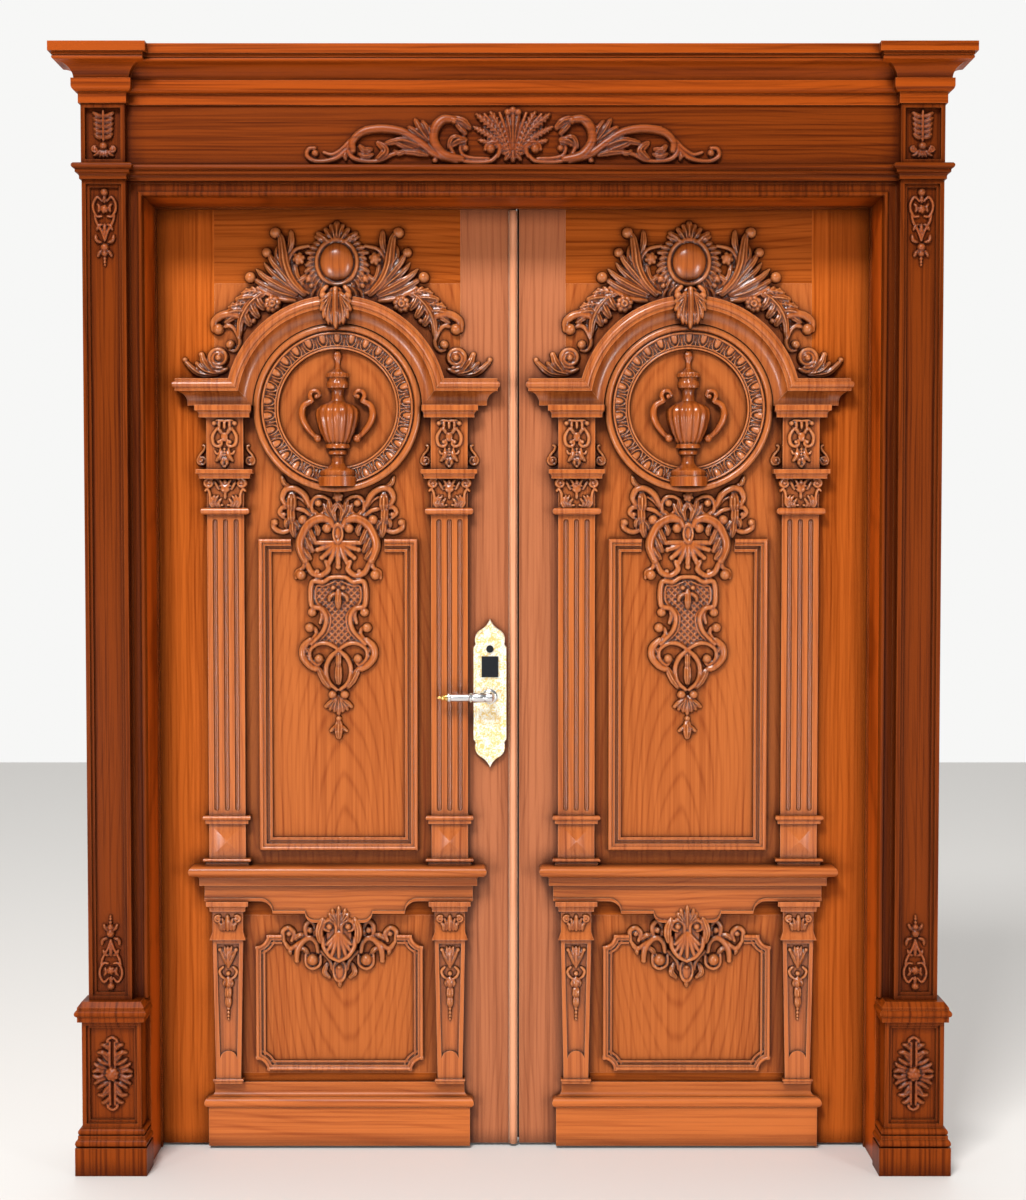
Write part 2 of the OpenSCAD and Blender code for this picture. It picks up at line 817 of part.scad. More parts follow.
module left_arch() color(leaf_tone) {
  depth = arch_t + arch_reach + 2 * over;
  ear = column_x + ear_w - mitre_in;
  ear_top = roundel_z + 2 * arch_r1;
  on_face() {
    intersection() {
      translate([0, 0, roundel_z]) rotate([90, 0, 0]) rotate_extrude(angle = 180)
        translate([arch_r0, arch_t]) mirror([1, -1]) {
          translate([-arch_t, 0]) square([arch_t, arch_w]);
          arch_profile();
        }
      translate([0, over, 0]) rotate([90, 0, 0]) linear_extrude(height = depth)
        polygon([[-mitre_in, ear_z], [mitre_in, ear_z], [mitre_out, ear_z + arch_w],
          [mitre_out, ear_top], [-mitre_out, ear_top], [-mitre_out, ear_z + arch_w]]);
    }
    pair() intersection() {
      translate([-mitre_in, -arch_t, ear_z])
        wrapped(2 * ear, arch_t, arch_w, arch_reach) arch_profile();
      translate([0, over, 0]) rotate([90, 0, 0]) linear_extrude(height = depth)
        polygon([[-mitre_in, ear_z], [-mitre_out, ear_z + arch_w],
          [-column_x - 2 * ear_w, ear_z + arch_w], [-column_x - 2 * ear_w, ear_z]]);
    }
  }
}

// Ring section: radius from the ring's inner edge, and height
module ring_profile() {
  channel_share = 0.14;
  bead_share = 0.2;
  torus_share = 0.18;
  groove_share = 0.24;
  torus = ring_w * torus_share;
  bead_w = ring_w * bead_share / 2;
  floor_t = ring_w * channel_share;
  square([ring_w - torus, floor_t]);
  translate([ring_w - 2 * torus, 0]) square([2 * torus, ring_w * groove_share]);
  translate([ring_w - torus, ring_w * groove_share]) circle(r = torus);
  translate([ring_w - 2 * torus - bead_w, 0]) square([bead_w + over, ring_w * bead_share]);
  square([bead_w, ring_w * bead_share - bead_w / 2]);
  translate([bead_w / 2, ring_w * bead_share - bead_w / 2]) circle(r = bead_w / 2);
}

// The urn's foot, as shares of its height: half width and height of the slab
urn_foot_shares = [.155, .07];
urn_z = roundel_z - roundel_r + urn_seat;

module left_roundel() color(leaf_tone) {
  egg_share = 0.36;
  channel_share = 0.14;
  inner = roundel_r - ring_w;
  on_face() difference() {
    translate([0, 0, roundel_z]) rotate([90, 0, 0]) {
      rotate_extrude() intersection() {
        translate([inner, 0]) ring_profile();
        translate([inner, 0]) square([ring_w, ring_w]);
      }
      for (i = [0:egg_n - 1]) rotate(360 * i / egg_n)
        translate([inner + ring_w * egg_share, 0, ring_w * channel_share])
          intersection() {
            sphere(r = egg_r);
            translate([-egg_r, -egg_r, -over]) cube([2 * egg_r, 2 * egg_r, 2 * egg_r]);
          }
    }
    bar([-1, 1] * (urn_h * urn_foot_shares[0] + carve_gap), [-ring_w, over],
      [urn_z - carve_gap, roundel_z]);
  }
}

// Section of a carved stem or leaf, across and up, as shares of its half width
section_shares = [[-1, 0], [0, 1], [1, 0]];
relief_share = 1.25;

// Points are x, z and half width; half widths at the start, along and at the end for those without
stem_w_shares = [.03, .045, .035];
leaf_w_shares = [.03, .05, .015];
function widened(p, w) = let (n = len(p) - 1)
  [for (i = [0:n]) [p[i][0], p[i][1], len(p[i]) > 2 ? p[i][2] : w[i == 0 ? 0 : i == n ? 2 : 1]]];

// Carved stem or leaf lobe that lies on the face and stands out towards -Y
module stem(points, unit) {
  c = points * unit;
  n = len(c);
  m = len(section_shares);
  rings = [for (i = [0:n - 1])
    let (a = c[max(i - 1, 0)], b = c[min(i + 1, n - 1)],
      d = [b[0] - a[0], b[1] - a[1]] / norm([b[0] - a[0], b[1] - a[1]]))
    for (s = section_shares)
      [c[i][0] - d[1] * c[i][2] * s[0], -c[i][2] * relief_share * s[1],
        c[i][1] + d[0] * c[i][2] * s[0]]];
  sides = [for (i = [0:n - 2], k = [0:m - 1])
    let (a = i * m + k, b = i * m + (k + 1) % m) each [[a, b, b + m], [a, b + m, a + m]]];
  polyhedron(points = rings, faces = concat([[for (k = [m - 1:-1:0]) k]], sides,
    [[for (k = [0:m - 1]) (n - 1) * m + k]]));
}

// Carved ball, bead or flower centre: x, z and radius
bud_top_share = 0.55;
bud_rise_share = 1.15;
bud_foot_share = 0.45;
bud_sides = 6;
module bud(p, unit) {
  r = p[2] * unit;
  translate([p[0] * unit, 0, p[1] * unit]) rotate([90, 0, 0]) hull() {
    cylinder(r = r, h = r * bud_foot_share, $fn = bud_sides);
    cylinder(r = r * bud_top_share, h = r * bud_rise_share, $fn = bud_sides);
  }
}

// A carving: mirrored stems, leaves and buds, then those on the axis
module carved(stems, leaves, buds, mid_leaves, mid_buds, unit, girth_share) {
  stem_w = stem_w_shares * girth_share;
  leaf_w = leaf_w_shares * girth_share;
  pair() {
    for (p = stems) stem(widened(p, stem_w), unit);
    for (p = leaves) stem(widened(p, leaf_w), unit);
    for (p = buds) bud(p, unit);
  }
  for (p = mid_leaves) stem(widened(p, leaf_w), unit);
  for (p = mid_buds) bud(p, unit);
}

// Crest, in shares of its grid square from the roundel's centre
crest_stem_shares = [
  [[-.36, 1.16], [-.5, 1.28], [-.53, 1.46], [-.52, 1.63], [-.58, 1.76]],
  [[-.42, 1.14], [-.57, 1.28], [-.64, 1.44], [-.68, 1.52]],
  [[-.42, 1.1], [-.62, 1.17], [-.76, 1.26], [-.83, 1.28]],
  [[-.28, 1.14], [-.43, 1.27], [-.48, 1.42], [-.42, 1.56], [-.31, 1.59]],
  [[-.93, .86], [-1.04, .93], [-1.15, .92], [-1.2, .84]],
  [[-1.06, .54], [-1.11, .6], [-1.22, .59], [-1.28, .49], [-1.22, .39],
    [-1.12, .4]]];
crest_leaf_shares = [
  [[-.48, 1.48], [-.45, 1.62], [-.45, 1.74]],
  [[-.55, 1.34], [-.58, 1.5], [-.58, 1.6]],
  [[-.52, 1.16], [-.66, 1.33], [-.73, 1.41]],
  [[-.62, 1.08], [-.76, 1.13], [-.92, 1.14]],
  [[-.78, 1.02], [-.92, 1.01], [-1.06, .97]],
  [[-.8, 1.08], [-.86, .96], [-.93, .8], [-.98, .68]],
  [[-1.16, .38], [-1.32, .38], [-1.53, .48]],
  [[-1.22, .4], [-1.31, .46], [-1.36, .56]],
  [[-.18, 1.62], [-.23, 1.68], [-.25, 1.73]],
  [[-.22, 1.52], [-.3, 1.56], [-.35, 1.6]],
  [[-.22, 1.38], [-.3, 1.35], [-.35, 1.33]],
  [[-.1, 1.66], [-.12, 1.74], [-.13, 1.8]]];
crest_bud_shares = [[-.6, 1.75, .05], [-.69, 1.53, .05], [-.84, 1.28, .05], [-.38, 1.47, .07],
  [-.65, 1.03, .09], [-1.19, .79, .06], [-1.18, .5, .05], [-1.35, .56, .04]];
crest_mid_leaf_shares = [[[0, 1.66], [0, 1.76], [0, 1.83]]];
boss_shares = [0, 1.44, .23];
keystone_leaf_shares = [
  [[-.04, 1.16], [-.1, 1.1], [-.15, 1.04]],
  [[-.04, 1.12], [-.1, 1.01], [-.14, .93]],
  [[-.03, 1.06], [-.07, .95], [-.09, .86]]];
keystone_mid_shares = [[[0, 1.19], [0, 1], [0, .81]]];

module left_crest() color(carved_tone) {
  on_face() {
    difference() {
      translate([0, 0, roundel_z])
        carved(crest_stem_shares, crest_leaf_shares, crest_bud_shares, crest_mid_leaf_shares,
          [boss_shares], crest_unit, 1);
      translate([0, over, roundel_z]) rotate([90, 0, 0])
        cylinder(r = arch_r1 + carve_gap, h = arch_w, $fn = 96);
      bar([-1, 1] * (column_x + 2 * ear_w), [-arch_w, over], [ear_z, ear_z + arch_w + carve_gap]);
    }
    translate([0, -arch_t - arch_reach, roundel_z])
      carved([], keystone_leaf_shares, [], keystone_mid_shares, [], crest_unit, 1);
  }
}

// Urn turned with hollows between its lobes: half width and height, in shares of its height
urn_disc_shares = [[.155, 0, .07], [.135, .07, .11], [.1, .11, .15], [.05, .15, .25],
  [.075, .24, .26], [.06, .26, .29], [.095, .28, .32], [.06, .31, .62],
  [.05, .6, .73], [.085, .7, .75],
  [.07, .75, .78], [.09, .78, .83], [.035, .83, .96]];
urn_lobe_shares = [[.055, .33, .028], [.115, .5, .05], [.075, .6, .045]];
urn_handle_shares = [[[-.09, .6], [-.13, .655], [-.2, .65], [-.25, .55],
  [-.22, .42], [-.15, .345], [-.07, .36]]];
urn_bud_shares = [[-.13, .62, .024], [-.11, .36, .02]];
urn_girth_share = .38;
urn_tip_shares = [0, .955, .035];

module left_urn() color(carved_tone) {
  facets = 12;
  facet_turn = 180 / facets;
  lobe_step = 30;
  on_face() translate([0, 0, urn_z]) intersection() {
    union() {
      for (d = urn_disc_shares) translate([0, 0, d[1] * urn_h]) rotate(facet_turn)
        cylinder(r = d[0] * urn_h, h = (d[2] - d[1]) * urn_h + over, $fn = facets);
      for (a = [-75:lobe_step:75]) rotate(a - 90) for (k = [0:len(urn_lobe_shares) - 2]) hull()
        for (s = [urn_lobe_shares[k], urn_lobe_shares[k + 1]])
          translate([s[0] * urn_h, 0, s[1] * urn_h]) sphere(r = s[2] * urn_h, $fn = 6);
      carved(urn_handle_shares, [], urn_bud_shares, [], [urn_tip_shares], urn_h, urn_girth_share);
    }
    bar([-urn_h, urn_h], [-urn_h, 0], [0, urn_h]);
  }
}

module slab_profile(reach, h) {
  lip_share = 0.45;
  nose_share = 0.55;
  fillet(reach * nose_share, 0, h);
  bead(reach, h * lip_share, h);
}

// Ledge that widens upwards in a cove
module ledge_profile(reach, h) {
  lip_share = 0.55;
  r = h * lip_share * lip_share;
  fillet(reach - r, 0, h);
  cove(reach, h * lip_share - r, r);
  fillet(reach, h * lip_share, h);
}

module column() {
  z_die = column_z + ped_base_h;
  z_cap = z_die + ped_die_h;
  translate([0, -shaft_t, column_z]) wrapped(shaft_w, shaft_t, ped_base_h, ped_reach)
    slab_profile(ped_reach, ped_base_h);
  bar([-1, 1] * shaft_w / 2, [-shaft_t, 0], [z_die, z_cap]);
  pyramid(z_die + ped_die_h / 2);
  translate([0, -shaft_t, z_cap]) wrapped(shaft_w, shaft_t, ped_cap_h, ped_reach)
    slab_profile(ped_reach, ped_cap_h);
  difference() {
    bar([-1, 1] * shaft_w / 2, [-shaft_t, 0], [shaft_z, necking_z]);
    for (k = [-1:1]) translate([k * flute_pitch, -shaft_t, 0]) {
      translate([0, 0, shaft_z + flute_end])
        cylinder(d = flute_w, h = necking_z - shaft_z - 2 * flute_end);
      for (z = [shaft_z + flute_end, necking_z - flute_end])
        translate([0, 0, z]) sphere(d = flute_w);
    }
  }
  translate([0, -shaft_t, necking_z]) wrapped(shaft_w, shaft_t, necking_h, ped_reach)
    bead(ped_reach, 0, necking_h);
  bar([-1, 1] * shaft_w / 2, [-shaft_t, 0], [capital_z, ledge_z]);
  translate([0, -shaft_t, ledge_z]) wrapped(shaft_w, shaft_t, ledge_h, ledge_reach)
    ledge_profile(ledge_reach, ledge_h);
  bar([-1, 1] * shaft_w / 2, [-console_t, 0], [console_z, bed_z]);
  translate([0, -shaft_t, bed_z]) wrapped(shaft_w, shaft_t, bed_h, bed_reach)
    ledge_profile(bed_reach, bed_h);
}

// Low pyramid on a pedestal's die, where two ridged bars cross
module pyramid(z) {
  border_share = 0.1;
  half = shaft_w * (1 - 2 * border_share) / 2;
  translate([0, -shaft_t, z]) intersection_for(turn = [0, 90])
    rotate([0, turn, 0]) translate([0, 0, -half]) linear_extrude(height = 2 * half)
      polygon([[-half, over], [-half, 0], [0, -pyramid_t], [half, 0], [half, over]]);
}

module left_columns() color(leaf_tone) {
  on_face() difference() {
    pair() translate([-column_x, 0, 0]) column();
    translate([0, over, roundel_z]) rotate([90, 0, 0]) cylinder(r = roundel_r + carve_gap, h = ring_w);
  }
}

// Carvings of a column, in shares of its width, from the middle of the console and of the capital
console_stem_shares = [
  [[-.28, .34], [-.34, .12], [-.22, -.05], [-.1, .02]],
  [[-.3, .56], [-.18, .62], [0, .56]]];
console_leaf_shares = [[[-.22, -.18], [-.15, -.4], [-.03, -.58]]];
console_mid_shares = [[[0, -.06], [0, -.35], [0, -.6]]];
console_side_shares = [[[-.58, -.06], [-.59, -.24], [-.63, -.4]]];
capital_leaf_shares = [
  [[-.38, -.36], [-.36, -.05], [-.52, .08]],
  [[-.18, -.36], [-.16, -.1], [-.24, 0]]];
capital_mid_shares = [[[0, -.36], [0, -.15], [0, .02]],
  [[0, .06], [0, .2], [0, .34]]];
capital_bud_shares = [[-.46, .25, .12]];
herm_leaf_shares = [
  [[-.03, -.72], [-.12, -.45], [-.24, -.16]],
  [[-.22, -.66], [-.24, -.86], [-.14, -1.02]]];
herm_mid_shares = [[[0, -.16], [0, -.45], [0, -.75]], [[0, -.95], [0, -1.15], [0, -1.32]],
  [[0, -1.3], [0, -1.5], [0, -1.72]], [[0, -1.74], [0, -1.85], [0, -2.2]]];
herm_cap_leaf_shares = [[[-.2, -.26], [-.22, 0], [-.34, .14]]];
herm_cap_mid_shares = [[[0, -.28], [0, 0], [0, .22]]];
herm_cap_bud_shares = [[-.37, .12, .12]];

module left_column_carvings() color(carved_tone) {
  w = shaft_w;
  girth_share = 1.6;
  on_face() pair() translate([-column_x, 0, 0]) {
    translate([0, -console_t, console_z + console_h / 2])
      carved(console_stem_shares, console_leaf_shares, [[-.12, .04, .06]], console_mid_shares, [], w,
        girth_share);
    translate([0, 0, console_z + console_h / 2])
      carved([], console_side_shares, [[-.65, -.46, .11]], [], [], w, girth_share);
    translate([0, -shaft_t, capital_z + capital_h / 2])
      carved([], capital_leaf_shares, capital_bud_shares, capital_mid_shares, [], w, girth_share);
    translate([0, herm_sunk - herm_t, herm_shaft_z[1] - herm_border])
      carved([], herm_leaf_shares, [], herm_mid_shares, [], herm_w, girth_share);
    translate([0, -herm_t, herm_cap_z + herm_cap_h / 2])
      carved([], herm_cap_leaf_shares, herm_cap_bud_shares, herm_cap_mid_shares, [], herm_w,
        girth_share);
  }
}

// Panel moulding section: across from its outer edge, and height
module panel_profile(w, t) {
  lip_share = 0.2;
  crown_share = 0.3;
  r = t * crown_share;
  square([w, t * lip_share]);
  translate([r, t - r]) circle(r = r);
  square([2 * r, t - r]);
  translate([2 * r - over, 0]) square([w * lip_share + over, t * (1 - crown_share)]);
  translate([w * (1 - lip_share), 0]) square([w * lip_share, t * 2 * lip_share]);
}

// Length of panel moulding along X, mitred as asked at its two ends, outer edge down at Z = 0
module mitred(x0, x1, w, t, cut0, cut1) {
  intersection() {
    translate([(x0 + x1) / 2, 0, 0]) rotate([180, -90, 0])
      linear_extrude(height = x1 - x0, center = true) panel_profile(w, t);
    translate([0, over, 0]) rotate([90, 0, 0]) linear_extrude(height = t + 2 * over)
      polygon([[x0 - over, -over],
        [x1 + over, -over],
        [x1 - cut1 * (w + over) + over * (1 - cut1), w + over],
        [x0 + cut0 * (w + over) - over * (1 - cut0), w + over]]);
  }
}

module upper_moulding() {
  w = upper_bead_w;
  t = upper_bead_t;
  half = upper_w / 2;
  tall = upper_z1 - upper_z0;
  translate([0, 0, upper_z0]) mitred(-half, half, w, t, 1, 1);
  pair() {
    translate([-half, 0, upper_z0]) rotate([0, 90, 0]) mirror([1, 0, 0]) mitred(0, tall, w, t, 1, 1);
    translate([0, 0, upper_z1]) mirror([0, 0, 1]) mitred(-half, -upper_open / 2, w, t, 1, 0);
  }
}

module lower_moulding() {
  w = lower_bead_w;
  t = lower_bead_t;
  half = lower_w / 2;
  inner = half - notch_r;
  translate([0, 0, lower_z0]) mitred(-inner, inner, w, t, 0, 0);
  pair() {
    translate([-half, 0, lower_z0]) rotate([0, 90, 0]) mirror([1, 0, 0])
      mitred(notch_r, lower_h - notch_r, w, t, 0, 0);
    translate([0, 0, lower_z1]) mirror([0, 0, 1]) mitred(-inner, -lower_open / 2, w, t, 0, 0);
    for (z = [lower_z0, lower_z1]) translate([-half, 0, z]) rotate([90, 0, 0])
      rotate(z == lower_z0 ? 0 : -90) rotate_extrude(angle = 90)
        translate([notch_r, 0]) panel_profile(w, t);
  }
}

module left_panel_mouldings() color(leaf_tone) {
  on_face() {
    upper_moulding();
    lower_moulding();
  }
}

// Pendant, in shares of its grid square from the top of the upper panel moulding
pendant_unit_share = 0.38;
pendant_stem_shares = [
  [[-.29, .35], [-.36, .45], [-.46, .48], [-.53, .44], [-.53, .36]],
  [[-.64, .17], [-.62, .1], [-.52, .07], [-.46, .12]],
  [[-.11, .1], [-.08, .17], [-.18, .2], [-.29, .11, .06], [-.36, -.03, .07],
    [-.35, -.17, .06], [-.32, -.28], [-.37, -.37]],
  [[-.31, -.27], [-.23, -.36], [-.14, -.34], [-.13, -.24]],
  [[-.06, -.36], [-.24, -.44], [-.24, -.64], [-.13, -.75],
    [-.13, -.9], [-.26, -1.03]],
  [[-.28, -.9], [-.34, -1.04], [-.36, -1.15], [-.26, -1.27]],
  [[-.27, -1.1], [-.14, -1.04], [0, -1.12], [.11, -1.27], [.11, -1.41],
    [.04, -1.51]]];
pendant_leaf_shares = [
  [[-.46, .42], [-.47, .34], [-.46, .26]],
  [[-.47, .3], [-.46, .22], [-.45, .14]],
  [[-.45, .18], [-.45, .1], [-.43, .01]],
  [[0, .16], [-.06, .28], [-.09, .38]],
  [[-.28, .09], [-.25, .02], [-.21, -.02]],
  [[-.31, -.01], [-.27, -.09], [-.23, -.14]],
  [[-.04, -.02], [-.13, -.03], [-.22, -.05]],
  [[-.03, -.07], [-.08, -.14], [-.12, -.21]],
  [[-.18, -1.29], [-.14, -1.41], [-.07, -1.51]],
  [[-.01, -1.6], [-.07, -1.64], [-.12, -1.7]]];
pendant_bud_shares = [[-.35, .18, .06], [-.64, .16, .04], 
  [-.1, .08, .05], [-.4, -.35, .05], [-.27, -.74, .04], [-.28, -.88, .05],
  [-.19, -1.2, .05], [-.06, -1.56, .05]];
pendant_mid_leaf_shares = [
  [[0, .16], [0, .28], [0, .4]],
  [[0, -.06], [0, -.18], [0, -.28]],
  [[0, -1.14], [0, -1.22], [0, -1.3]],
  [[0, -1.28], [0, -1.37], [0, -1.52]],
  [[0, -1.58], [0, -1.68], [0, -1.78]],
  [[0, -1.8], [0, -1.92], [0, -2]]];
pendant_mid_bud_shares = [[0, .06, .08], [0, -1.79, .04]];
// Outline of the latticed shield
shield_shares = [[0, -.37], [-.08, -.38], [-.23, -.45], [-.23, -.63], [-.12, -.76], [-.12, -.89],
  [-.24, -1.04], [-.11, -1.06], [0, -1.1]];
shield_t_share = 0.02;

module left_pendant() color(carved_tone) {
  girth_share = .8;
  unit = pendant_h * pendant_unit_share;
  on_face() translate([0, 0, upper_z1]) {
    carved(pendant_stem_shares, pendant_leaf_shares, pendant_bud_shares, pendant_mid_leaf_shares,
      pendant_mid_bud_shares, unit, girth_share);
    rotate([90, 0, 0]) linear_extrude(height = unit * shield_t_share)
      polygon(concat(shield_shares, [for (i = [len(shield_shares) - 2:-1:1])
        [-shield_shares[i][0], shield_shares[i][1]]]) * unit);
  }
}

// Cartouche, in shares of its grid square from the top of the lower panel moulding
cartouche_unit_share = 0.87;
cartouche_stem_shares = [
  [[-.04, .04], [-.04, .12], [-.11, .16], [-.18, .06], [-.18, -.07]],
  [[-.33, 0], [-.33, .09], [-.27, .11], [-.26, .04]],
  [[-.55, -.06], [-.55, .03], [-.49, .04], [-.48, -.05]],
  [[-.54, -.08], [-.49, -.14], [-.37, -.06], [-.24, -.02], [-.15, -.04]],
  [[-.42, -.27], [-.4, -.14], [-.3, -.06], [-.22, -.11], [-.21, -.21]],
  [[-.15, -.01], [-.14, -.13], [-.08, -.22], [0, -.26]],
  [[-.06, -.31], [-.06, -.41], [0, -.48]]];
cartouche_leaf_shares = [
  [[-.01, .14], [-.05, .21], [-.07, .27]],
  [[-.01, .02], [-.06, -.06], [-.11, -.11]],
  [[-.01, .02], [-.04, -.1], [-.06, -.19]],
  [[-.48, -.12], [-.49, -.17], [-.51, -.21]]];
cartouche_bud_shares = [[-.1, .09, .05], [-.28, .04, .04], [-.49, -.06, .04], [-.27, -.27, .08]];
cartouche_mid_leaf_shares = [[[0, .04], [0, .16], [0, .3]],
  [[0, .03], [0, -.12], [0, -.23]]];
cartouche_mid_bud_shares = [[0, -.35, .05], [0, -.44, .04]];

module left_cartouche() color(carved_tone) {
  girth_share = .65;
  unit = cartouche_w * cartouche_unit_share;
  on_face() difference() {
    translate([0, 0, lower_z1])
      carved(cartouche_stem_shares, cartouche_leaf_shares, cartouche_bud_shares, cartouche_mid_leaf_shares,
        cartouche_mid_bud_shares, unit, girth_share);
    bar([-1, 1] * (apron_drop_w + carve_gap), [-apron_t - apron_rim_t, over],
      [apron_z - apron_drop - carve_gap, apron_z + apron_h]);
    bar([-1, 1] * (apron_tip_w + apron_tip + carve_gap), [-apron_t - apron_rim_t, over],
      [apron_z - apron_drop - apron_tip - carve_gap, apron_z]);
  }
}

// Apron outline: ends, a deeper middle with hollow corners, and a rounded tip
module apron_outline() {
  translate([-apron_w / 2, 0]) square([apron_w, apron_h]);
  difference() {
    translate([-apron_drop_w, -apron_drop]) square([2 * apron_drop_w, apron_drop + over]);
    for (side = [-1, 1]) translate([side * apron_drop_w, -apron_drop]) circle(r = apron_drop);
  }
  intersection() {
    union() {
      translate([-apron_tip_w, -apron_drop - apron_tip]) square([2 * apron_tip_w, apron_tip + over]);
      for (side = [-1, 1]) translate([side * apron_tip_w, -apron_drop]) circle(r = apron_tip);
    }
    translate([-apron_w / 2, -apron_drop - apron_tip]) square([apron_w, apron_tip + over]);
  }
}

module shelf_profile() {
  lip_share = 0.5;
  nose_share = 0.62;
  r = shelf_h * lip_share * lip_share;
  fillet(shelf_reach * lip_share - r / 2, 0, shelf_h);
  cove(shelf_reach * nose_share, shelf_h * lip_share - r, r);
  fillet(shelf_reach * nose_share, shelf_h * lip_share, shelf_h);
  bead(shelf_reach, shelf_h * lip_share, shelf_h);
}

module left_shelf() color(leaf_tone) {
  on_face() {
    translate([0, -apron_t, shelf_z]) wrapped(apron_w, apron_t, shelf_h, shelf_reach) shelf_profile();
    translate([0, 0, apron_z]) rotate([90, 0, 0]) {
      linear_extrude(height = apron_t) apron_outline();
      linear_extrude(height = apron_t + apron_rim_t) difference() {
        apron_outline();
        translate([0, apron_rim]) apron_outline();
        translate([-apron_w / 2, apron_rim]) square([apron_w, apron_h]);
      }
    }
  }
}

herm_cap_z = apron_z - herm_abacus_h - herm_cap_h;
herm_shaft_z = [skirting_z + herm_base_h, herm_cap_z - herm_neck_h];

// Tapering herm with a sunk panel that ends in a round arch
module herm() {
  foot_share = 0.14;
  tall = herm_shaft_z[1] - herm_shaft_z[0];
  sunk_z = tall * foot_share;
  sunk_w = herm_foot_w / 2 - herm_border;
  translate([0, -herm_t, skirting_z]) wrapped(herm_foot_w, herm_t, herm_base_h, herm_reach / 2)
    slab_profile(herm_reach / 2, herm_base_h);
  translate([0, 0, herm_shaft_z[0]]) rotate([90, 0, 0]) difference() {
    linear_extrude(height = herm_t) polygon([[-herm_foot_w / 2, 0], [herm_foot_w / 2, 0],
      [herm_w / 2, tall], [-herm_w / 2, tall]]);
    translate([0, 0, herm_t - herm_sunk]) linear_extrude(height = herm_sunk + over) difference() {
      polygon([[-sunk_w, sunk_z], [sunk_w, sunk_z],
        [herm_w / 2 - herm_border, tall - herm_border], [herm_border - herm_w / 2, tall - herm_border]]);
      translate([0, sunk_z]) circle(r = sunk_w);
    }
  }
  translate([0, -herm_t, herm_shaft_z[1]]) wrapped(herm_w, herm_t, herm_neck_h, herm_reach / 2)
    polygon([[-over, 0], [herm_reach / 2, 0], [0, herm_neck_h], [-over, herm_neck_h]]);
  bar([-1, 1] * herm_w / 2, [-herm_t, 0], [herm_cap_z, herm_cap_z + herm_cap_h]);
  translate([0, -herm_t, herm_cap_z + herm_cap_h]) wrapped(herm_w, herm_t, herm_abacus_h, herm_reach)
    ledge_profile(herm_reach, herm_abacus_h);
}

module left_herms() color(leaf_tone) {
  on_face() pair() translate([-column_x, 0, 0]) herm();
}

// Skirting: board, bead, cove and a top fillet behind it
module skirting_profile() {
  board_share = 0.62;
  bead_share = 0.78;
  bead(skirting_reach, skirting_h * board_share, skirting_h * bead_share);
}

module left_skirting() color(leaf_tone) {
  bead_share = 0.78;
  top_share = 0.94;
  inset_share = 0.6;
  inset = skirting_t * inset_share;
  cove_h = skirting_h * (top_share - bead_share);
  on_face() translate([0, 0, leaf_z0]) {
    translate([0, -skirting_t, 0]) wrapped(skirting_w, skirting_t, skirting_h * bead_share, skirting_reach)
      skirting_profile();
    translate([0, inset - skirting_t, skirting_h * bead_share])
      wrapped(skirting_w - 2 * inset, skirting_t - inset, skirting_h * (1 - bead_share), inset)
        mirror([0, 1]) translate([0, -cove_h]) cove(inset, cove_h - inset, inset);
  }
}

module right_hinge_stile() { mirror([1, 0, 0]) left_hinge_stile(); }
module right_rails() { mirror([1, 0, 0]) left_rails(); }
module right_panels() { mirror([1, 0, 0]) left_panels(); }
module right_arch() { mirror([1, 0, 0]) left_arch(); }
module right_roundel() { mirror([1, 0, 0]) left_roundel(); }
module right_urn() { mirror([1, 0, 0]) left_urn(); }
module right_crest() { mirror([1, 0, 0]) left_crest(); }
module right_columns() { mirror([1, 0, 0]) left_columns(); }
module right_column_carvings() { mirror([1, 0, 0]) left_column_carvings(); }
module right_panel_mouldings() { mirror([1, 0, 0]) left_panel_mouldings(); }
module right_pendant() { mirror([1, 0, 0]) left_pendant(); }
module right_shelf() { mirror([1, 0, 0]) left_shelf(); }
module right_herms() { mirror([1, 0, 0]) left_herms(); }
module right_cartouche() { mirror([1, 0, 0]) left_cartouche(); }
module right_skirting() { mirror([1, 0, 0]) left_skirting(); }
module right_hinges() { mirror([1, 0, 0]) left_hinges(); }

// Foot and head of the lock case and its forend
case_share = .6;
case_z = [lever_z - case_h * case_share, lever_z + case_h * (1 - case_share)];
forend_z = [(case_z[0] + case_z[1] - forend_h) / 2, (case_z[0] + case_z[1] + forend_h) / 2];

module left_lock_stile() {
  color(leaf_tone) difference() {
    lock_stile(left_edge);
    bar([left_edge - forend_t - case_d - joint_play, left_edge],
      [mid_y - case_t / 2 - joint_play, mid_y + case_t / 2 + joint_play],
      [case_z[0] - joint_play, case_z[1] + joint_play]);
    bar([left_edge - forend_t, left_edge + over], [mid_y - forend_w / 2, mid_y + forend_w / 2], forend_z);
    translate([spindle_x, face_y - over, lever_z]) rotate([-90, 0, 0])
      cylinder(r = neck_r + over, h = leaf_t + 2 * over);
  }
}

module right_lock_stile() {
  color(leaf_tone) mirror([1, 0, 0]) difference() {
    lock_stile(right_edge);
    bar([right_edge - forend_t, right_edge + over], [mid_y - forend_w / 2, mid_y + forend_w / 2], forend_z);
    for (b = bolts)
      bar([right_edge - forend_t - strike_depth, right_edge],
        [mid_y - bolt_t / 2 - over, mid_y + bolt_t / 2 + over], [b[0] - over, b[1] + over]);
    translate([rod_x, mid_y, leaf_z1 - rod_l - 2 * over]) cylinder(r = rod_r + pin_play, h = rod_l + 3 * over);
    translate([rod_x, mid_y, leaf_z0 - over]) cylinder(r = rod_r + pin_play, h = rod_l + 3 * over);
    bar([right_edge - seal_d, right_edge + over], seal_y, [leaf_z0 - over, leaf_z1 + over]);
  }
}

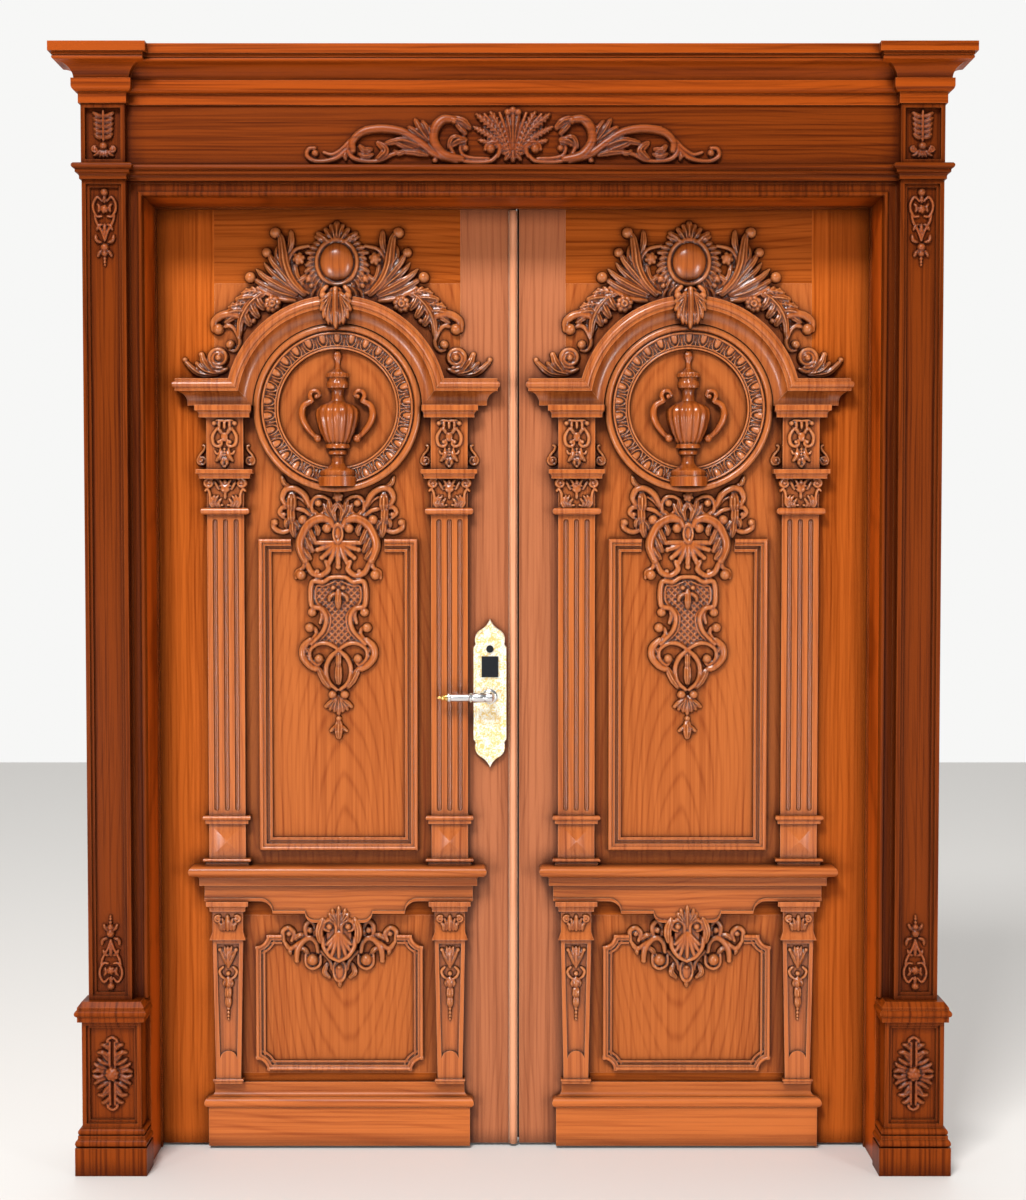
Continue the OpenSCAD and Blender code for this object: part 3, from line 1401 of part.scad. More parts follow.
module meeting_seal() {
  color(dark_tone) mirror([1, 0, 0])
    bar([right_edge - seal_d, right_edge + meeting_gap - seal_play], seal_y, [leaf_z0, leaf_z1]);
}

module astragal() {
  rim_share = 0.3;
  color(leaf_tone) translate([left_edge + astragal_lap, face_y, leaf_z0])
    rotate([0, 0, 180]) linear_extrude(height = opening_h - stop_lip - leaf_z0 - leaf_gap) {
      square([astragal_w, astragal_t * rim_share]);
      intersection() {
        translate([astragal_w / 2, 0]) circle(r = astragal_t);
        square([astragal_w, astragal_t]);
      }
    }
}

// Foot and head of each bolt: latch, then deadbolt
bolts = [[lever_z - latch_h / 2, lever_z + latch_h / 2],
  [lever_z - deadbolt_drop - deadbolt_h / 2, lever_z - deadbolt_drop + deadbolt_h / 2]];

// Lock plate outline: body, round shoulders and pointed ends
module plate_outline() {
  body_share = 0.64;
  shoulder_share = 0.43;
  point_share = 0.53;
  square([lock_plate_w, lock_plate_h * body_share], center = true);
  point = lock_plate_w * point_share;
  for (side = [0, 1]) mirror([0, side]) {
    translate([0, lock_plate_h * body_share / 2]) circle(r = lock_plate_w * shoulder_share);
    translate([0, lock_plate_h / 2 - point]) rotate(45)
      square(point * sqrt(2), center = true);
  }
}

// Lock plate with the lever's bore, standing out towards -Y from Y = 0
module lock_plate() {
  difference() {
    translate([0, 0, plate_rise]) rotate([90, 0, 0]) linear_extrude(height = lock_plate_t) plate_outline();
    translate([0, over, 0]) rotate([90, 0, 0])
      cylinder(r = neck_r + pin_play, h = lock_plate_t + 2 * over);
  }
}

module front_escutcheon() {
  color(metal_tone) translate([spindle_x, face_y, lever_z]) difference() {
    lock_plate();
    bar([-1, 1] * keypad_w / 2, [-lock_plate_t - over, keypad_t - lock_plate_t],
      keypad_span);
    translate([0, keypad_t - lock_plate_t, eye_rise]) rotate([90, 0, 0])
      cylinder(r = eye_r + joint_play, h = keypad_t + over);
  }
}

module back_escutcheon() {
  color(metal_tone) translate([spindle_x, back_y, lever_z]) mirror([0, 1, 0]) lock_plate();
}

module keypad() {
  proud_share = 0.2;
  t = keypad_t * (1 + proud_share);
  color(dark_tone) translate([spindle_x, face_y + keypad_t - lock_plate_t, lever_z]) {
    bar([-1, 1] * keypad_w / 2, [-t, 0], keypad_span);
    translate([0, 0, eye_rise]) rotate([90, 0, 0]) cylinder(r = eye_r, h = t);
  }
}

// Lever on the -Y side: spindle, neck, grip towards -X and finial
module lever() {
  collar_share = 1.2;
  tip_share = 0.35;
  grip_l = lever_l - finial_l;
  bar([-1, 1] * spindle_w / 2, [-over, mid_y - face_y - joint_play], [-1, 1] * spindle_w / 2);
  rotate([90, 0, 0]) cylinder(r = neck_r, h = lever_out);
  translate([0, -lock_plate_t - joint_play, 0]) rotate([90, 0, 0])
    cylinder(r = neck_r * collar_share, h = neck_r / 2);
  translate([grip_r, -lever_out, 0]) rotate([0, -90, 0]) {
    cylinder(r = grip_r, h = grip_l + grip_r);
    translate([0, 0, grip_l + grip_r])
      cylinder(r1 = grip_r * (1 - tip_share / 2), r2 = grip_r * tip_share, h = finial_l - grip_r * tip_share);
    translate([0, 0, lever_l + grip_r - grip_r * tip_share]) sphere(r = grip_r * tip_share);
  }
}

module front_lever() {
  color(steel_tone) translate([spindle_x, face_y, lever_z]) lever();
}

module back_lever() {
  color(steel_tone) translate([spindle_x, back_y, lever_z]) mirror([0, 1, 0]) lever();
}

module lock_case() {
  slot = bolt_l + forend_t;
  color(steel_tone) difference() {
    union() {
      bar([left_edge - forend_t - case_d, left_edge - over], [mid_y - case_t / 2, mid_y + case_t / 2], case_z);
      bar([left_edge - forend_t, left_edge], [mid_y - forend_w / 2, mid_y + forend_w / 2], forend_z);
    }
    for (b = bolts)
      bar([left_edge - slot, left_edge + over],
        [mid_y - bolt_t / 2 - joint_play, mid_y + bolt_t / 2 + joint_play],
        [b[0] - joint_play, b[1] + joint_play]);
    translate([spindle_x, mid_y - case_t, lever_z]) rotate([-90, 0, 0])
      cylinder(r = spindle_w, h = 2 * case_t, $fn = 48);
  }
}

module bolt(b) {
  bar([left_edge - bolt_l, left_edge], [mid_y - bolt_t / 2, mid_y + bolt_t / 2], b);
}

module latch_bolt() { color(steel_tone) bolt(bolts[0]); }
module deadbolt() { color(steel_tone) bolt(bolts[1]); }

module strike_plate() {
  color(steel_tone) mirror([1, 0, 0]) difference() {
    bar([right_edge - forend_t, right_edge], [mid_y - forend_w / 2, mid_y + forend_w / 2], forend_z);
    for (b = bolts)
      bar([right_edge - forend_t - over, right_edge + over],
        [mid_y - bolt_t / 2 - over, mid_y + bolt_t / 2 + over], [b[0] - over, b[1] + over]);
  }
}

module rod(z) {
  translate([-rod_x, mid_y, z]) cylinder(r = rod_r, h = rod_l);
}

module top_bolt() { color(steel_tone) rod(leaf_z1 - rod_l - over); }
module bottom_bolt() { color(steel_tone) rod(leaf_z0 + over); }

// Frieze carving, in shares of its grid square from the frieze's middle
frieze_unit_share = 0.248;
frieze_stem_shares = [
  [[-.24, -.1], [-.16, -.1], [-.15, -.2], [-.3, -.25], [-.5, -.23],
    [-.62, -.1]],
  [[-.52, -.24], [-.7, -.18], [-.77, -.05, .06], [-.76, .07, .06], [-.68, .15],
    [-.58, .16]],
  [[-.62, -.24], [-.77, -.19], [-.94, -.06], [-1.12, .02], [-1.32, .05],
    [-1.48, .03], [-1.57, -.06], [-1.52, -.14]],
  [[-1.61, -.06], [-1.6, -.17], [-1.52, -.23], [-1.32, -.23], [-1.18, -.18],
    [-1.05, -.18]],
  [[-1.62, -.09], [-1.75, -.22], [-1.9, -.25], [-1.99, -.2], [-1.98, -.13]]];
frieze_leaf_shares = [
  [[-.01, -.12], [-.06, .08], [-.09, .25]],
  [[-.02, -.13], [-.12, .06], [-.21, .23]],
  [[-.03, -.14], [-.2, .08], [-.36, .21]],
  [[-.04, -.15], [-.22, 0], [-.38, .09]],
  [[0, -.15], [-.05, -.22], [-.09, -.25]],
  [[-.6, .16], [-.49, .13], [-.41, .04]],
  [[-.6, -.11], [-.54, -.04], [-.45, -.05]],
  [[-.82, -.1], [-.91, .04], [-.96, .15]],
  [[-.88, -.13], [-1.08, -.07], [-1.28, -.09]],
  [[-1.32, -.08], [-1.27, -.16], [-1.33, -.24]],
  [[-1.62, -.08], [-1.72, -.16], [-1.86, -.18]]];
frieze_bud_shares = [[-.23, -.13, .05], [-.47, -.13, .04], [-.59, .16, .04], [-1.48, -.15, .05],
  [-1.95, -.17, .04], [-.06, .22, .04]];
frieze_mid_shares = [[[0, -.24], [0, -.02], [0, .25]]];

module frieze_carving() {
  girth_share = .9;
  color(carved_tone) translate([0, wall_y - frieze_t, (frieze_z + cornice_z) / 2])
    carved(frieze_stem_shares, frieze_leaf_shares, frieze_bud_shares, frieze_mid_shares, [],
      frieze_carving_w * frieze_unit_share, girth_share);
}

// Drop, in shares of its height below its top
drop_stem_shares = [
  [[-.05, -.17], [-.1, -.12], [-.15, -.24], [-.12, -.36], [-.05, -.36]],
  [[-.14, -.33], [-.1, -.44], [-.03, -.55], [0, -.7]]];
drop_leaf_shares = [[[-.02, -.7], [-.08, -.69], [-.11, -.63]]];
drop_bud_shares = [[-.06, -.36, .03]];
drop_mid_leaf_shares = [[[0, -.72], [0, -.82], [0, -1]]];
drop_mid_bud_shares = [[0, -.06, .06], [0, -.28, .05], [0, -.76, .06]];

// Rosette, in shares of its height from its middle: one quarter
rosette_leaf_shares = [
  [[-.02, .08], [-.04, .28], [-.04, .48]],
  [[-.05, .34], [-.1, .4], [-.14, .39]],
  [[-.05, .2], [-.12, .27], [-.19, .23]],
  [[-.08, .03], [-.17, .07], [-.25, .05]]];

// Acanthus on a frieze block, in shares of the frieze's height from its middle
block_leaf_shares = [
  [[-.02, .34], [-.13, .32], [-.23, .27]],
  [[-.02, .2], [-.13, .17], [-.23, .11]],
  [[-.02, .06], [-.12, .02], [-.2, -.05]],
  [[-.03, -.32], [-.12, -.36], [-.22, -.36]]];
block_bud_shares = [[-.18, -.24, .06]];
block_mid_leaf_shares = [[[0, .38], [0, .15], [0, -.1]]];
block_mid_bud_shares = [[0, -.18, .09], [0, -.36, .04]];

module frame_carvings() {
  top_share = .05;
  rosette_girth_share = .65;
  block_girth_share = .9;
  rosette_bud_shares = [0, 0, .1];
  color(carved_tone) pair() {
    translate([-pilaster_x, wall_y - pilaster_t + sunk_depth, 0]) {
      translate([0, 0, impost_z - sunk_border - sunk_step - drop_h * top_share]) drop();
      translate([0, 0, plinth_h + sunk_border + sunk_step + drop_h * top_share]) mirror([0, 0, 1]) drop();
    }
    translate([-plinth_x, wall_y - plinth_t + sunk_depth, (foot_h + base_h + plinth_h - cap_h) / 2]) {
      for (turn = [0, 1]) mirror([0, 0, turn]) carved([], rosette_leaf_shares, [], [], [], rosette_h, rosette_girth_share);
      bud(rosette_bud_shares, rosette_h);
    }
    translate([-pilaster_x, wall_y - block_t + sunk_depth, (frieze_z + cornice_z) / 2])
      carved([], block_leaf_shares, block_bud_shares, block_mid_leaf_shares, block_mid_bud_shares,
        frieze_h, block_girth_share);
  }
}

module drop() {
  girth_share = .5;
  carved(drop_stem_shares, drop_leaf_shares, drop_bud_shares, drop_mid_leaf_shares, drop_mid_bud_shares,
    drop_h, girth_share);
}

left_jamb();
right_jamb();
head_jamb();
architrave();
pilasters();
plinths();
impost_moulding();
frieze_board();
frieze_blocks();
cornice();
frieze_carving();
frame_carvings();
frame_hinges();
left_hinge_stile();
left_lock_stile();
left_rails();
left_panels();
left_arch();
left_roundel();
left_urn();
left_crest();
left_columns();
left_column_carvings();
left_panel_mouldings();
left_pendant();
left_shelf();
left_herms();
left_cartouche();
left_skirting();
left_hinges();
astragal();
front_escutcheon();
back_escutcheon();
keypad();
front_lever();
back_lever();
lock_case();
latch_bolt();
deadbolt();
right_hinge_stile();
right_lock_stile();
right_rails();
right_panels();
right_arch();
right_roundel();
right_urn();
right_crest();
right_columns();
right_column_carvings();
right_panel_mouldings();
right_pendant();
right_shelf();
right_herms();
right_cartouche();
right_skirting();
right_hinges();
strike_plate();
meeting_seal();
top_bolt();
bottom_bolt();
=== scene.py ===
# %% [markdown]
# # A carved double door on its CAD frame
#
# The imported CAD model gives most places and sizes. The plain joinery is shown as it was built there,
# and the carvings, the urns, the roundels and the lock are drawn again here with more detail.

import json
import math

import bmesh
import bpy
import numpy as np
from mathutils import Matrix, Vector

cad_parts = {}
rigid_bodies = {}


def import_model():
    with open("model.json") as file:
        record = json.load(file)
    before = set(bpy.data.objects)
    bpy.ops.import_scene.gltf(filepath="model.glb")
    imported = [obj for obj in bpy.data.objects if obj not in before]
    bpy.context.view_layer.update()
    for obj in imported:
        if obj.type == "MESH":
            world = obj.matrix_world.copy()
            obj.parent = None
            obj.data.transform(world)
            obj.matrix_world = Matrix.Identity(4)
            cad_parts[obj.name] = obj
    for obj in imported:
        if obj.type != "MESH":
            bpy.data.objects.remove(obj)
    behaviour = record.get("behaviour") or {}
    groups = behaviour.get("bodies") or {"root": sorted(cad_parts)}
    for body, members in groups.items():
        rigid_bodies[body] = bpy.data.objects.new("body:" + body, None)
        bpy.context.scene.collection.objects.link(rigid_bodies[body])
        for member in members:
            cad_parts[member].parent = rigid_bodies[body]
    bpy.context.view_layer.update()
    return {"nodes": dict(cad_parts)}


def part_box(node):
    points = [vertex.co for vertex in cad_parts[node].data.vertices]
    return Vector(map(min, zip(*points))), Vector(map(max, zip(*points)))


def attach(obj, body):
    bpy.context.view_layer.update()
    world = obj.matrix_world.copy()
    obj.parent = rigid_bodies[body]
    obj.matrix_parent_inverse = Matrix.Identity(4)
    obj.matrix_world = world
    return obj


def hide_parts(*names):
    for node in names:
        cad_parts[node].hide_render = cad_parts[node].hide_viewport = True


for leftover in list(bpy.data.objects):
    bpy.data.objects.remove(leftover)
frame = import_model()
nodes = frame["nodes"]
MM = 0.001
print("CAD nodes:", len(nodes))

# %% [markdown]
# ## Places
#
# The ornament hangs from a few places that the CAD boxes give: the leaf's face, the ornament's axis,
# the roundel's centre and the tops of the panel mouldings. Typed in again they could drift from the
# solids, so they are read from the boxes.


# %% Places read from the frame
def span(node):
    low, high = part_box(node)
    return np.array(low), np.array(high)


COLUMN_HALF = 66 * MM
CARTOUCHE_HEIGHT = 115 * MM
face_y = span("left_panels")[0][1]
arch_low, arch_high = span("left_arch")
axis_x = (arch_low[0] + arch_high[0]) / 2
arch_front = arch_low[1]
ring_low, ring_high = span("left_roundel")
ring_r = (ring_high[0] - ring_low[0]) / 2
ring_z = ring_high[2] - ring_r
upper_top = span("left_panel_mouldings")[1][2]
lower_top = span("left_cartouche")[0][2] + CARTOUCHE_HEIGHT
col_low, col_high = span("left_columns")
column_x = (col_high[0] - col_low[0]) / 2 - COLUMN_HALF
wall_y = span("pilasters")[1][1]
frieze_low = span("frieze_board")[0]
block_low = span("frieze_blocks")[0]
pilaster_x = (abs(block_low[0]) + abs(frieze_low[0])) / 2
print("leaf axis at x", round(axis_x, 4), "and roundel radius", round(ring_r, 4))

# %% [markdown]
# ## Carving kit
#
# The ornaments are stems, leaves and scrolls in low relief. They could be sculpted, or bent from curves.
# Here a carving is a height map, because stems that cross then merge with no faces inside. Each stroke is
# a curve with a half width, and each point of the map takes the highest of the strokes over it. Strokes
# are written in squares of a carver's grid.

# %% Strokes
LATTICE_EDGE = 2.0
SCROLL_STEPS = 14
SCROLL_CLOSES = 0.72
ROUND = {"ring": 1.0, "dome": 0.5}


def pen(kind):
    """Maker of strokes of one kind, from a half width, the points of a curve and a lift off the ground."""

    def stroke(w, *points, lift=0.0):
        return (kind, w, points, lift)

    return stroke


# A stem is round, a leaf has a raised rib and a pointed end, a frond is broad with notched edges and
# slanting veins, and a mass is the low ground that joins the lobes above it.
stem, leaf, frond, mass = map(pen, ("stem", "leaf", "frond", "mass"))


def spine(w, *heights, lift=0.0):
    """Leaf along the ornament's axis."""
    return leaf(w, *((0, v) for v in heights), lift=lift)


def ball(u, v, r, lift=0.0):
    return ("ball", r, ((u, v),), lift)


def oval(u, v, ru, rv, w, lift=0.0):
    """Raised rim along an oval."""
    return ("ring", w, ((u, v), (ru, rv)), lift)


def dome(u, v, ru, rv, lift=0.0):
    return ("dome", min(ru, rv), ((u, v), (ru, rv)), lift)


def plate(*points, lift=0.0):
    """Flat field inside an outline, with a diamond lattice sunk into it."""
    return ("plate", LATTICE_EDGE, points, lift)


def scroll(u, v, r, w, start, turns, lift=0.0):
    """Volute that winds inwards from an angle in degrees; positive turns run anticlockwise."""
    steps = max(6, int(abs(turns) * SCROLL_STEPS))
    points = []
    for i in range(steps + 1):
        t = i / steps
        a = math.radians(start) + t * turns * 2 * math.pi
        k = r * (1 - SCROLL_CLOSES * t)
        points.append((u + k * math.cos(a), v + k * math.sin(a)))
    return stem(w, *points, lift=lift)


def turned_by(strokes, su, sv):
    """The strokes with their u and v multiplied; round ones keep their radii."""
    out = []
    for kind, w, points, lift in strokes:
        turned = tuple((su * u, sv * v) for u, v in points)
        if kind in ROUND:
            turned = (turned[0], points[1])
        out.append((kind, w, turned, lift))
    return out


def mirrored(strokes):
    """The strokes and their mirror image across u = 0."""
    return strokes + turned_by(strokes, -1, 1)


def flipped(strokes):
    """The strokes turned upside down."""
    return turned_by(strokes, 1, -1)


# %% [markdown]
# ## Sections of the strokes
#
# A gouge leaves a round section on a stem and a ribbed one on a leaf. Swept profiles could give that, but
# they twist at tight bends. Here the height follows from the distance to the nearest point of the curve.

# %% Height map of a carving
GROUND = 3.2 * MM
WALL = 3.2
BALL_RISE = 15 * MM
LATTICE_PITCH = 6.4
LATTICE_DEPTH = 2.4 * MM
MASS_RISE = 2.0 * MM
RIM_CELLS = 6
SPARE = 3
FAR = 1e9
PROFILE = {
    "stem": ([0, 0.2, 0.75, 1], [0.72, 1, 0.95, 0.75]),
    "leaf": ([0, 0.25, 0.6, 0.85, 1], [0.6, 0.95, 1, 0.7, 0.2]),
    "frond": ([0, 0.15, 0.5, 0.85, 1], [0.5, 0.85, 1, 0.75, 0.3]),
    "mass": ([0, 1], [1, 1]),
}


def arc(s):
    """Quarter circle: one at s = 0, nought from s = 1 on."""
    return np.sqrt(np.clip(1 - s**2, 0, 1))


def ridge(s, middle, width):
    """Soft ridge of height one."""
    return np.exp(-(((s - middle) / width) ** 2))


def spline(points, step):
    """Smooth curve through the points, sampled about every step."""
    p = np.array(points, float)
    if len(p) < 3:
        n = max(2, int(np.hypot(*(p[-1] - p[0])) / step) + 1)
        t = np.linspace(0, 1, n)[:, None]
        return p[0] + (p[-1] - p[0]) * t
    out = []
    for i in range(len(p) - 1):
        a, b, c, d = p[max(i - 1, 0)], p[i], p[i + 1], p[min(i + 2, len(p) - 1)]
        n = max(2, int(np.hypot(*(c - b)) / step) + 1)
        t = np.linspace(0, 1, n, endpoint=False)[:, None]
        out.append(
            b
            + (c - a) * t / 2
            + (2 * a - 5 * b + 4 * c - d) * t**2 / 2
            + (3 * b - a - 3 * c + d) * t**3 / 2
        )
    out.append(p[-1:])
    return np.vstack(out)


def outline_distance(path, u, v):
    """Whether each point lies inside the outline, and how far it is from it."""
    inside = np.zeros(u.shape, bool)
    d = np.full(u.shape, FAR)
    for a, b in zip(path, np.roll(path, -1, 0)):
        du, dv = b - a
        crosses = (a[1] > v) != (b[1] > v)
        run = np.where(crosses, du * (v - a[1]) / (dv + 1e-12) + a[0], 0)
        inside ^= crosses & (u < run)
        t = np.clip(((u - a[0]) * du + (v - a[1]) * dv) / (du**2 + dv**2), 0, 1)
        d = np.minimum(d, np.hypot(u - a[0] - t * du, v - a[1] - t * dv))
    return inside, d


def curve_height(kind, w, base, path, u, v):
    """Distance from the middle of a curve, the half width there and the height."""
    t = np.linspace(0, 1, len(path))
    widths = w * np.interp(t, *PROFILE[kind])
    best = np.full(u.shape, FAR)
    near = np.zeros(u.shape, int)
    for i, (pu, pv) in enumerate(path):
        q = np.hypot(u - pu, v - pv) - widths[i]
        closer = q < best
        best[closer] = q[closer]
        near[closer] = i
    half = widths[near]
    d = best + half
    along = t[near]
    if kind == "frond":
        length = np.hypot(*np.diff(path, axis=0).T).sum()
        notches = max(3.0, round(length / (w * 0.75)))
        phase = notches * along - 0.75 * np.clip(d / half, 0, 1)
        half = half * (0.84 + 0.16 * np.cos(2 * np.pi * (notches * along - 0.75)))
    s = np.clip(d / np.maximum(half, 1e-6), 0, 1)
    if kind == "stem":
        h = base + half * 1.05 * arc(s)
    elif kind == "leaf":
        body = arc(s) * (0.95 + 0.12 * np.cos(s * 2.6 * np.pi)) + 0.22 * ridge(s, 0, 0.2)
        curl = 0.75 + 0.55 * np.sin(along * np.pi * 0.8)
        h = base + w * 0.95 * body * curl * np.clip(half / w, 0.3, 1)
    elif kind == "frond":
        veins = 1 + 0.2 * np.cos(2 * np.pi * phase) * np.clip(s * 3, 0, 1)
        body = np.clip(arc(s), 0.15, 1) * veins + 0.3 * ridge(s, 0, 0.13)
        h = base + w * 0.72 * body * np.interp(along, [0, 0.5, 1], [0.8, 1.0, 0.75])
    else:
        h = base * 0.9 + MASS_RISE * arc(s)
    return d, half, h


def stroke_height(kind, w, points, lift, unit, cell, us, vs):
    """Rows, columns and heights that a stroke adds to the map."""
    w = w * unit
    base = GROUND + lift * unit
    reach = w + 4 * cell + base / WALL
    path = np.array(points) * unit
    if kind in ROUND:
        centre, radii = path
        low, high = centre - radii - reach, centre + radii + reach
    else:
        if kind != "plate":
            path = spline(path, cell * 0.9)
        low, high = path.min(0) - reach, path.max(0) + reach
    c0, c1 = np.searchsorted(us, (low[0], high[0]))
    r0, r1 = np.searchsorted(vs, (low[1], high[1]))
    u, v = np.meshgrid(us[c0:c1], vs[r0:r1])
    half = w
    if kind in ROUND:
        share = np.hypot((u - centre[0]) / radii[0], (v - centre[1]) / radii[1])
        d = np.abs(share - 1) * radii.mean() if kind == "ring" else share * w
        h = base + w * ROUND[kind] * arc(d / w)
    elif kind == "ball":
        d = np.hypot(u - path[0, 0], v - path[0, 1])
        h = base + min(w * 1.05, BALL_RISE) * arc(d / w)
    elif kind == "plate":
        inside, d = outline_distance(path, u, v)
        rows, cols = [np.abs(k / (LATTICE_PITCH * unit) % 1 - 0.5) for k in (u + v, u - v)]
        h = base - LATTICE_DEPTH * np.clip((0.36 - np.maximum(rows, cols)) / 0.08, 0, 1)
        half = np.where(inside, FAR, 0)
    else:
        d, half, h = curve_height(kind, w, base, path, u, v)
    h = np.where(d > half, base - (d - half) * WALL, h)
    return slice(r0, r1), slice(c0, c1), h


def blurred(h, cells):
    """Box blur run twice along each axis."""
    k = max(1, int(cells))
    for axis in (0, 1, 0, 1):
        ends = [np.repeat(h.take([i], axis), k, axis) for i in (0, -1)]
        total = np.cumsum(np.concatenate([ends[0], h, ends[1]], axis), axis)
        count = total.shape[axis]
        before = np.concatenate([np.zeros_like(total.take([0], axis)), total], axis)
        h = total.take(range(2 * k, count), axis) - before.take(range(count - 2 * k), axis)
        h = h / (2 * k + 1)
    return h


def height_map(strokes, unit, cell):
    spread = []
    for kind, w, points, lift in strokes:
        if kind in ROUND:
            (u, v), (ru, rv) = points
            spread += [(u - ru - w, v - rv - w), (u + ru + w, v + rv + w)]
        else:
            for u, v in points:
                reach = w + SPARE
                spread += [(u - reach, v - reach), (u + reach, v + reach)]
    spread = np.array(spread) * unit
    low, high = spread.min(0) - RIM_CELLS * cell, spread.max(0) + RIM_CELLS * cell
    us = np.arange(low[0], high[0], cell)
    vs = np.arange(low[1], high[1], cell)
    field = np.full((len(vs), len(us)), -1.0)
    for stroke in strokes:
        rows, cols, h = stroke_height(*stroke, unit, cell, us, vs)
        field[rows, cols] = np.maximum(field[rows, cols], h)
    return us, vs, field


# %% [markdown]
# ## From height map to mesh
#
# A displaced plane would be quick but open at the back. The raised cells get walls and a flat back
# instead, so that each carving is a closed mesh that sits on its board as an applied one does.

# %% Height map to a closed mesh
BACK = 2.5 * MM
CAVITY_REACH = 3.6 * MM
CAVITY_DEPTH = 3.0 * MM
LOWEST = -2 * MM


# The cavity sets where the shading group paints shade (below nought) and pale edges (above nought).
def mark_cavity(mesh, values):
    """Notes for each vertex how far it lies above or below its surroundings."""
    shade = mesh.attributes.new("Cavity", "FLOAT", "POINT")
    shade.data.foreach_set("value", values.astype(np.float32))


def tidied(mesh, fill=False):
    """The mesh smooth and facing out, with its open rims filled flat if asked."""
    work = bmesh.new()
    work.from_mesh(mesh)
    if fill:
        rims = [e for e in work.edges if e.is_boundary]
        bmesh.ops.triangle_fill(work, edges=rims, use_beauty=False, use_dissolve=False, normal=(0, 1, 0))
    bmesh.ops.recalc_face_normals(work, faces=work.faces)
    for f in work.faces:
        f.smooth = True
    work.to_mesh(mesh)
    work.free()
    return mesh


def solid_from_map(name, us, vs, field, back=BACK):
    """Closed mesh of the map's part above nought: front skin, walls and a flat back. X and Z lie in
    the face and -Y is out of it."""
    rows, cols = field.shape
    high = field > 0
    cells = high[:-1, :-1] | high[1:, :-1] | high[:-1, 1:] | high[1:, 1:]
    # Cells that touch only at a corner are joined, so that every edge has two faces.
    for _ in range(6):
        a = cells[:-1, :-1] & cells[1:, 1:] & ~cells[1:, :-1] & ~cells[:-1, 1:]
        b = ~cells[:-1, :-1] & ~cells[1:, 1:] & cells[1:, :-1] & cells[:-1, 1:]
        if not (a.any() or b.any()):
            break
        cells[:-1, :-1] |= b
        cells[1:, :-1] |= a
    r, c = np.nonzero(cells)
    first = r * cols + c
    corner = np.stack([first, first + 1, first + cols + 1, first + cols], 1)
    used = np.unique(corner)
    index = np.full(rows * cols, -1)
    index[used] = np.arange(len(used))
    quads = index[corner]
    raised = np.clip(field, 0, None)
    soft = blurred(raised, CAVITY_REACH / (us[1] - us[0]))
    cavity = np.clip((raised - soft) / CAVITY_DEPTH, -1, 1).ravel()[used]
    h = np.clip(field, LOWEST, None).ravel()[used]
    front = np.stack([us[used % cols], -h, vs[used // cols]], 1)
    edges = np.concatenate([quads[:, [i, (i + 1) % 4]] for i in range(4)])
    _, inverse, count = np.unique(np.sort(edges, 1), axis=0, return_inverse=True, return_counts=True)
    rim = edges[count[inverse.ravel()] == 1]
    rim_ids = np.unique(rim)
    behind = np.full(len(used), -1)
    behind[rim_ids] = len(used) + np.arange(len(rim_ids))
    rear = front[rim_ids].copy()
    rear[:, 1] = back
    walls = np.stack([rim[:, 1], rim[:, 0], behind[rim[:, 0]], behind[rim[:, 1]]], 1)
    mesh = bpy.data.meshes.new(name)
    mesh.from_pydata(np.vstack([front, rear]).tolist(), [], np.vstack([quads, walls]).tolist())
    mark_cavity(mesh, np.concatenate([cavity, np.full(len(rim_ids), -1.0)]))
    return tidied(mesh, fill=True)


def moved(mesh, scale, shift):
    """The mesh with its vertices scaled and shifted; a mirrored one is turned over to face out again."""
    co = np.zeros(len(mesh.vertices) * 3, np.float32)
    mesh.vertices.foreach_get("co", co)
    co = co.reshape(-1, 3) * np.array(scale, np.float32) + np.array(shift, np.float32)
    mesh.vertices.foreach_set("co", co.ravel())
    if np.prod(scale) < 0:
        mesh.flip_normals()
    mesh.update()
    return mesh


def placed(mesh, x, y, z):
    return moved(mesh, (1, 1, 1), (x, y, z))


def mirrored_copy(mesh):
    """A copy for the other side of the plane x = 0."""
    return moved(mesh.copy(), (-1, 1, 1), (0, 0, 0))


def turned_over(mesh, y):
    """A copy facing the other way through the plane at y."""
    return moved(mesh.copy(), (1, -1, 1), (0, 2 * y, 0))


def joined(name, meshes):
    """One mesh of several."""
    work = bmesh.new()
    for m in meshes:
        work.from_mesh(m)
    out = bpy.data.meshes.new(name)
    work.to_mesh(out)
    work.free()
    for m in meshes:
        bpy.data.meshes.remove(m)
    return out


def piece(name, mesh, material, body, replaces=()):
    """Shows a mesh as a named piece that rides on a body."""
    o = bpy.data.objects.new(name, mesh)
    bpy.context.scene.collection.objects.link(o)
    mesh.materials.clear()
    mesh.materials.append(material)
    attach(o, body)
    if replaces:
        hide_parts(*replaces)
    print(name, "has", len(mesh.polygons), "faces")
    return o


# %% [markdown]
# ## Swept and turned pieces
#
# The urn's handles are tubes along a curve. The urn, its balls, the levers and the finials are turned
# on a lathe. Bevelled curves and screw modifiers could make them too, but rings of vertices laid directly
# are closed, and can be lobed or pressed flat at the back.


# %% Tubes and lathes
def skinned(name, verts, sides):
    """Closed mesh over rings of vertices, with a cap at each end."""
    count = len(verts) // sides
    faces = []
    for i in range(count - 1):
        for k in range(sides):
            j = (k + 1) % sides
            faces.append((i * sides + k, i * sides + j, (i + 1) * sides + j, (i + 1) * sides + k))
    faces.append(tuple(reversed(range(sides))))
    faces.append(tuple(range((count - 1) * sides, count * sides)))
    return solid(name, verts, faces)


def solid(name, verts, faces):
    mesh = bpy.data.meshes.new(name)
    mesh.from_pydata([tuple(v) for v in verts], [], faces)
    return tidied(mesh)


